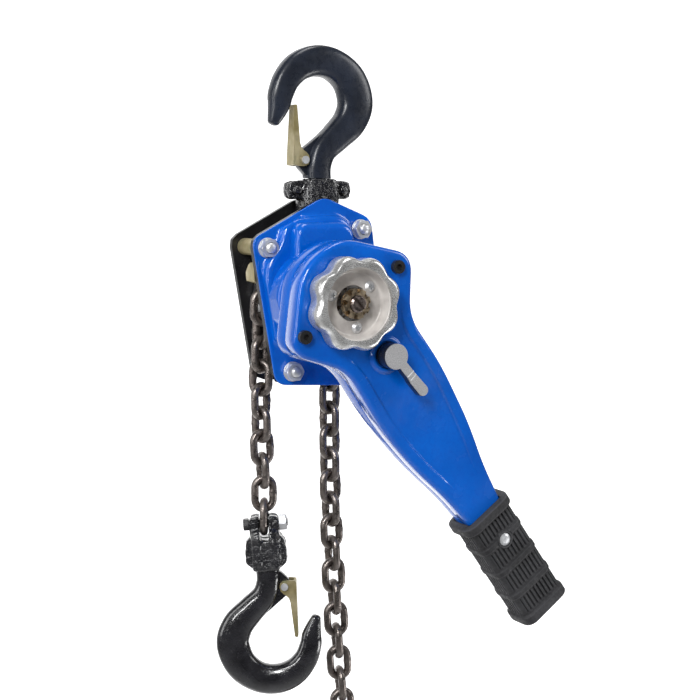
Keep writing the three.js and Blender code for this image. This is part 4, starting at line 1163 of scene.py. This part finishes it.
CARRIED = {
    YELLOW_ZINC: "top_hook_latch bottom_hook_latch",
    ZINC: "top_latch_rivet bottom_latch_rivet top_yoke_pin grip_rivet hand_wheel_screw_1 hand_wheel_screw_2 "
          "hand_wheel_screw_3",
    PLATE_BLACK: "front_side_plate rear_side_plate",
    SCREW_BLACK: "upper_lever_screw lower_lever_screw",
    STEEL: "front_sheave_bearing rear_sheave_bearing upper_brake_pawl lower_brake_pawl load_sheave load_gear "
           "upper_disc_gear lower_disc_gear disc_hub ratchet_disc change_gear freewheel_spring "
           "hand_wheel_plate selector_pawl",
    OILED_STEEL: "pinion_shaft",
    BRASS: "castle_nut",
    FRICTION: "inner_friction_disc outer_friction_disc",
}
EDGE = {"front_side_plate": 0.0006, "rear_side_plate": 0.0006, "castle_nut": 0.0004}
FINE_EDGE = 0.0002


def finish_cad_node(name, material, edge):
    """Breaks a CAD node's edges and gives it its material."""
    obj = NODES[name]
    obj.data.materials.clear()
    obj.data.materials.append(material)
    smooth_shading(obj.data, 30)
    flatten = obj.modifiers.new("one_face_per_flat", "DECIMATE")
    flatten.decimate_type = "DISSOLVE"
    flatten.angle_limit = math.radians(1)
    rounding = obj.modifiers.new("broken_edges", "BEVEL")
    rounding.width = edge
    rounding.segments = 2
    rounding.limit_method = "ANGLE"
    rounding.angle_limit = math.radians(35)
    rounding.harden_normals = True


for material, names in CARRIED.items():
    for name in names.split():
        finish_cad_node(name, material, EDGE.get(name, FINE_EDGE))


# ------------------------ floor, light and camera

def studio():
    """A pale floor far below the hoist, which curves up into a wall behind it.

    The wall glows, so that it stays white; the floor in front doesn't, so that the dark paint stays dark."""
    grey = Surface("backdrop", 0.9)
    grey.colour(grey.mottled(3, 3, (0.9, 0.9, 0.9), (0.93, 0.93, 0.93)))
    grey.shader.inputs["Emission Color"].default_value = (1, 1, 1, 1)
    axes = grey.tree.nodes.new("ShaderNodeSeparateXYZ")
    grey.tree.links.new(grey.place, axes.inputs["Vector"])
    glow = grey.tree.nodes.new("ShaderNodeMath")
    glow.operation = "MULTIPLY"
    grey.tree.links.new(grey.spread(axes.outputs["Y"], 0, 0.95, 0.3, 1.2), glow.inputs[0])
    grey.tree.links.new(grey.spread(axes.outputs["X"], 0, 1, -1.7, -1.0), glow.inputs[1])
    grey.tree.links.new(glow.outputs["Value"], grey.shader.inputs["Emission Strength"])
    profile = rounded([(-6, -2.5, 0), (3.4, -2.5, 1.6), (3.4, 4, 0)], 16)
    points = []
    for x in (-6, 6):
        points.extend((x, y, z) for y, z in profile)
    count = len(profile)
    faces = [(k, k + 1, count + k + 1, count + k) for k in range(count - 1)]
    mesh = bpy.data.meshes.new("backdrop")
    mesh.from_pydata(points, [], faces)
    mesh.shade_smooth()
    mesh.materials.append(grey.material)
    linked("backdrop", mesh)


def softbox(name, place, target, width, height, power):
    data = bpy.data.lights.new(name, "AREA")
    data.shape = "RECTANGLE"
    data.size = width
    data.size_y = height
    data.energy = power
    lamp = linked(name, data)
    lamp.location = place
    lamp.rotation_euler = (Vector(target) - Vector(place)).to_track_quat("-Z", "Y").to_euler()


def sky(strength):
    world = bpy.data.worlds.new("studio")
    world.use_nodes = True
    background = world.node_tree.nodes["Background"]
    background.inputs["Color"].default_value = (1, 1, 1, 1)
    background.inputs["Strength"].default_value = strength
    bpy.context.scene.world = world


def camera():
    data = bpy.data.cameras.new("camera")
    data.sensor_width = 36
    data.lens = LENS
    view = linked("camera", data)
    view.location = CAMERA_PLACE
    view.rotation_euler = CAMERA_DIRECTION.to_track_quat("-Z", "Y").to_euler()
    bpy.context.scene.camera = view


studio()
sky(0.1)
MIDDLE = (-0.02, 0, -0.2)
softbox("key", (-1.8, -1.9, 1.2), MIDDLE, 0.6, 1.0, 54)
softbox("side", (-1.7, 0.25, 0.1), MIDDLE, 0.5, 1.4, 8)
softbox("fill", (1.6, -1.0, 0.6), MIDDLE, 0.7, 1.1, 14)
softbox("strip", (-1.6, -0.8, 0.3), MIDDLE, 0.12, 1.2, 11)
softbox("low", (1.5, -1.0, -1.1), MIDDLE, 0.9, 0.5, 11)
softbox("top", (0.1, -0.1, 1.3), MIDDLE, 0.9, 0.4, 7)
camera()
bpy.context.scene.view_settings.view_transform = "Standard"
